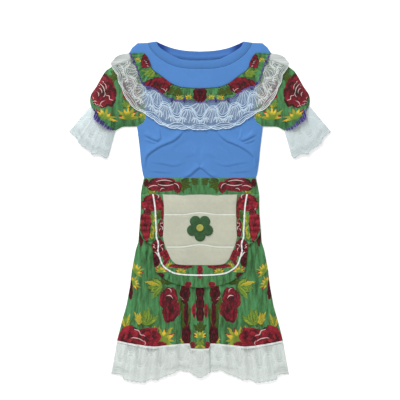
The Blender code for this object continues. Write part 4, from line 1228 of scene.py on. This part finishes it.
# Apron. A row: the panel's edge, then the ruffle's.
apronRows = [(117, 480.6, 185, 480.6), (113, 522, 184, 520), (114, 562, 187, 560), (115, 597, 190, 598),
             (116, 615, 176, 626), (112, 634, 154, 640), (107, 650, 148, 664), (100, 664, 146, 692),
             (93, 681, 138, 726), (83, 694, 113, 745.5), (70, 701, 86, 760), (40, 703.5, 45, 769.5),
             (0, 703.5, 0, 775)]
apron = {
    "waves": 19, "fineGathers": 47, "waveHeight": 4.8, "tuckUnder": 3.0, "ribbon": 4.7, "tuckHalf": 2.6,
    "steps": 14, "sideRows": 9, "ruffleGrid": (190, 20), "panelGrid": (44, 76), "tuckGrid": (60, 9),
    "base": dress["rest"] + dress["frontLift"] + 2 * dress["solidCotton"] + 1.0, "tuckBend": 60.0,
    "ribbonPlace": [(0.0, 0.455), (3.0, 0.29), (4.5, 0.36), (6.0, 0.62), (8.0, 0.52), (9.0, 0.50),
                    (12.0, 0.44)],
    "ribbonFold": [(140, 662), (135, 669), (129.5, 677)],      # pinched where it turns
    # name, node, and drop at the side and at the centre
    "tucks": [("apronTuckUpper", "apron_tuck_upper", 546.0, 540.0),
              ("apronTuckLower", "apron_tuck_lower", 647.5, 640.0)],
    "motifs": [("rose", 149, 508, 40, 30, 0, 3), ("rose", 170, 578, 19, 54, 0, 3),
               ("rose", 121, 588, 13, 30, 0, 0), ("rose", 132, 650, 26, 32, 0, 0),
               ("rose", 106, 672, 16, 22, 0, 3), ("rose", 140, 690, 14, 24, 0, 1),
               ("rose", 57, 706, 42, 9, 0, 3), ("rose", 0, 723, 10, 24, 0, 3),
               ("rose", 128, 735, 17, 9, 0, 1), ("rose", 37, 764, 12, 10, 0, 3),
               ("leaf", 153, 554, 17, 20, 20, 0), ("leaf", 124, 541, 13, 17, 0, 1),
               ("leaf", 151, 603, 9, 22, 0, 0), ("bloom", 123, 714, 17, 14, 0, 0),
               ("bloom", 96, 701, 10, 14, 0, 0), ("bloom", 60, 719, 14, 12, 0, 0),
               *strokesBetween((131, 494, 134, 480, 5, 0), (173, 531, 176, 523, 4, 0),
                               (115, 567, 127, 576, 4, 1), (117, 593, 124, 578, 5, 0),
                               (122, 588, 129, 596, 4, 0), (142, 652, 146, 635, 4.5, 1),
                               (132, 671, 142, 662, 4, 0), (116, 637, 125, 646, 4.5, 0),
                               (117, 659, 122, 647, 4, 0)),
               ("rose", 119, 540, 5, 26, 0, 3), ("rose", 166, 536, 14, 15, 0, 0),
               ("rose", 108, 693, 20, 6, 55, 3), ("leaf", 140, 582, 12, 22, 0, 0)],
}


def ruffleLines(shares):      # inner and outer line of the ruffle
    lines = np.array(stripLines(apronRows, apron["steps"]))
    steps = even(lines.shape[1])
    return [np.stack([np.interp(shares, steps, line[:, k]) for k in (0, 1)], -1) for line in lines]


def rufflePoints(shares, across, lifted):
    inner, outer = ruffleLines(shares)
    span = (outer - inner)[None]
    points = inner[None] + span * across[..., None]
    held = np.maximum(across, 0)
    on = inner[None] + span * held[..., None]
    gather = apron["waveHeight"] * unevenWaves(shares, apron["waves"], 2.0)[None] * held
    tiny = 0.5 + 0.5 * np.cos(fullTurn * apron["fineGathers"] * shares + 2.5 * wander(shares * 40, 3.0))
    under = skirtHeight(on) + dress["solidCotton"] + 0.6
    return points, under + gather + 1.1 * tiny[None] * held * (1.2 - held) + lifted


def addRuffle():
    shares, down = (even(count) for count in apron["ruffleGrid"])
    down = down[:, None]
    inner, edge = stripLines(apronRows, apron["steps"])
    reach = np.interp(shares, even(len(inner)), np.linalg.norm(edge - inner, axis=1))
    across = down - (apron["tuckUnder"] / reach)[None] * (1 - down) ** 4
    points, height = rufflePoints(shares, across, 0)
    limit = apron["base"] - dress["cotton"] - 0.25      # its seam runs in under the panel
    height = np.where(across <= 0.02, np.minimum(height, limit), height)
    piece = addCloth("apronRuffle", points, height, "print", "apron_ruffle", motifs=apron["motifs"])
    place = np.interp(shares * 12, *zip(*apron["ribbonPlace"]))
    sides = (np.linspace(-0.5, 0.5, 5)[:, None] * apron["ribbon"] / reach[None]) + place[None]
    points, height = rufflePoints(shares, sides, dress["cotton"] + 0.35)
    piece = addCloth("apronRibbon", points, height, "ribbon", "apron_ribbon")
    fold = np.array(apron["ribbonFold"], float)
    near = np.linalg.norm(points[None] - fold[:, None, None], axis=-1).reshape(len(fold), -1).argmin(axis=1)
    addThread("ribbonFold", mirrored([layOut(fold, height.reshape(-1)[near] + 1.1)]), 1.15, "white", 8)


def tuckLine(out, drop, centreDrop):
    return centreDrop + (drop - centreDrop) * ease(out / apron["tuckBend"])


def addApronPanel():
    edge = [row[:2] for row in apronRows]
    corner = apron["sideRows"]
    side, low = curveThrough(edge[:corner]), curveThrough(edge[corner - 1:])[::-1]
    out = np.linspace(0, side[0, 0], 30)
    top = together(out, side[0, 1] + 1.0 + 2.6 * np.exp(-((out - 52) / 26) ** 2) + 0.4 * np.sin(out / 7))
    side[0] = top[-1]
    centre = np.array([top[0], (0, low[0, 1])])
    u, v = (even(count) for count in apron["panelGrid"])
    points = patchGrid(top, low, centre, side, u, v)
    out, drop = points[..., 0], points[..., 1]
    soft = rounded(np.minimum(1 - u[None, :], 1 - v[:, None]) * 110, 14)
    wrinkle = 0.25 * wander(out / 26 + drop / 60, 4.0) + 0.25 * wander(drop / 34, 1.0)
    height = apron["base"] + 1.3 * soft * ease(v[:, None] / 0.12) * (1 + wrinkle)
    for _, _, *drops in apron["tucks"]:
        height = height - 0.9 * np.exp(-((drop - tuckLine(out, *drops)) / 4.5) ** 2) * soft
    piece = addCloth("apronPanel", points, np.maximum(height, apron["base"]), "beige", "apron_panel")
    for name, node, drop, centreDrop in apron["tucks"]:
        outEdge = readTable(edge[:corner], drop, 0, 1) - 2
        columns, rows = apron["tuckGrid"]
        out, rows = np.linspace(0, outEdge, columns)[None, :], np.linspace(-1, 1, rows)[:, None]
        bulge = 0.75 * np.sqrt(np.clip(1 - rows ** 2, 0, 1)) + 0.15 * wander(out / 9, 1.0)
        height = apron["base"] + 0.95 + bulge
        half = apron["tuckHalf"] * (0.85 + 0.2 * wander(out / 22, drop))
        points = together(out, tuckLine(out, drop, centreDrop) + half * rows)
        piece = addCloth(name, points, height, "tuck", node)


addRuffle()
addApronPanel()
print("apron made")

# Felt flower
flower = {
    "drop": 586.0, "reach": 42.0, "core": 27.0, "petals": 5, "roundness": 0.62, "steps": 240,
    "thick": 4.6, "disc": 11.0, "discThick": 2.8,
    # shares of the outline and of the thickness, from the underside over the rounded rim
    "profile": [(0.05, 0.0), (0.6, 0.0), (0.97, 0.0), (1.0, 0.12), (1.01, 0.32), (1.0, 0.55), (0.985, 0.74),
                (0.95, 0.88), (0.88, 0.96), (0.78, 1.0), (0.55, 1.0), (0.3, 1.0), (0.05, 1.0)],
}


def roundedSlab(name, outline, base, thick, look, node):
    rings = []
    for share, rise in flower["profile"]:
        ring = np.array([0.0, flower["drop"]]) + outline * share
        lump = 0.35 * wander(ring[:, 0] / 5, 1.0) * wander(ring[:, 1] / 6, 2.0) if rise == 1.0 else 0
        rings.append(layOut(ring, base + thick * rise + lump))
    rows, columns = len(rings), len(outline)
    caps = [list(range(columns)), list(range(rows * columns))[:-columns - 1:-1]]
    mesh = bpy.data.meshes.new(name)
    faces = [face[::-1] for face in gridFaces(rows, columns, True).tolist() + caps]
    mesh.from_pydata(np.concatenate(rings).tolist(), [], faces)
    mesh.shade_smooth()
    dressPiece(newPiece(name, mesh, finish[look][0]), node)


def addFlower():
    base = apron["base"] + dress["solidCotton"] + 0.4
    turn = np.linspace(0, fullTurn, flower["steps"], endpoint=False)
    circle = np.stack([np.cos(turn), -np.sin(turn)], -1)
    petal = np.abs(np.cos(flower["petals"] / 2 * (turn + math.pi / 2))) ** flower["roundness"]
    reach = flower["core"] + (flower["reach"] - flower["core"]) * petal
    roundedSlab("feltFlower", circle * reach[:, None], base, flower["thick"], "greenFelt", "applique_flower")
    base += flower["thick"] + 0.4
    disc = circle * flower["disc"]
    roundedSlab("feltCentre", disc, base, flower["discThick"], "yellowFelt", "applique_centre")


addFlower()
print("flower made")

# Floor, light and camera
studio = {
    "floor": 6.0, "floorDrop": -0.0006, "glow": 0.32, "sky": 0.50,
    "lamps": [("key", (-2.1, 4.7, 2.9), 3.0, 352.0), ("fill", (1.2, -2.4, 2.8), 2.6, 24.0)],
    "sensor": 36.0, "lens": 100.0, "frameWidth": 1.26, "aim": 0.0384,
}
floorMaterial, floorInputs = startMaterial("paleFloor", 0.9, 0.0)
for label, value in (("Base Color", (0.93, 0.93, 0.93, 1)), ("Emission Color", (1.0, 1.0, 1.0, 1)),
                     ("Emission Strength", studio["glow"])):
    floorInputs[label].default_value = value
floorMesh = bpy.data.meshes.new("floor")
ways = ((-1, -1), (1, -1), (1, 1), (-1, 1))
corners = [(x * studio["floor"], y * studio["floor"], studio["floorDrop"]) for x, y in ways]
floorMesh.from_pydata(corners, [], [(0, 1, 2, 3)])
newPiece("floor", floorMesh, floorMaterial)

world = bpy.data.worlds.new("softStudio")
bpy.context.scene.world = world
world.use_nodes = True
background = world.node_tree.nodes["Background"].inputs
background[0].default_value = (1.0, 1.0, 1.0, 1)
background[1].default_value = studio["sky"]
for name, place, size, power in studio["lamps"]:
    lamp = bpy.data.lights.new(name, "AREA")
    lamp.size = size
    lamp.energy = power
    item = bpy.data.objects.new(name, lamp)
    item.location = place
    item.rotation_euler = (-Vector(place)).to_track_quat("-Z", "Y").to_euler()
    bpy.context.scene.collection.objects.link(item)

lens = bpy.data.cameras.new("photoCamera")
lens.sensor_width = studio["sensor"]
lens.lens = studio["lens"]
camera = bpy.data.objects.new("photoCamera", lens)
camera.location = (0.0, studio["aim"], studio["frameWidth"] * studio["lens"] / studio["sensor"])
bpy.context.scene.collection.objects.link(camera)
bpy.context.scene.camera = camera
bpy.context.scene.view_settings.view_transform = "Standard"
print("areas", {key: round(value, 4) for key, value in measured.items()})
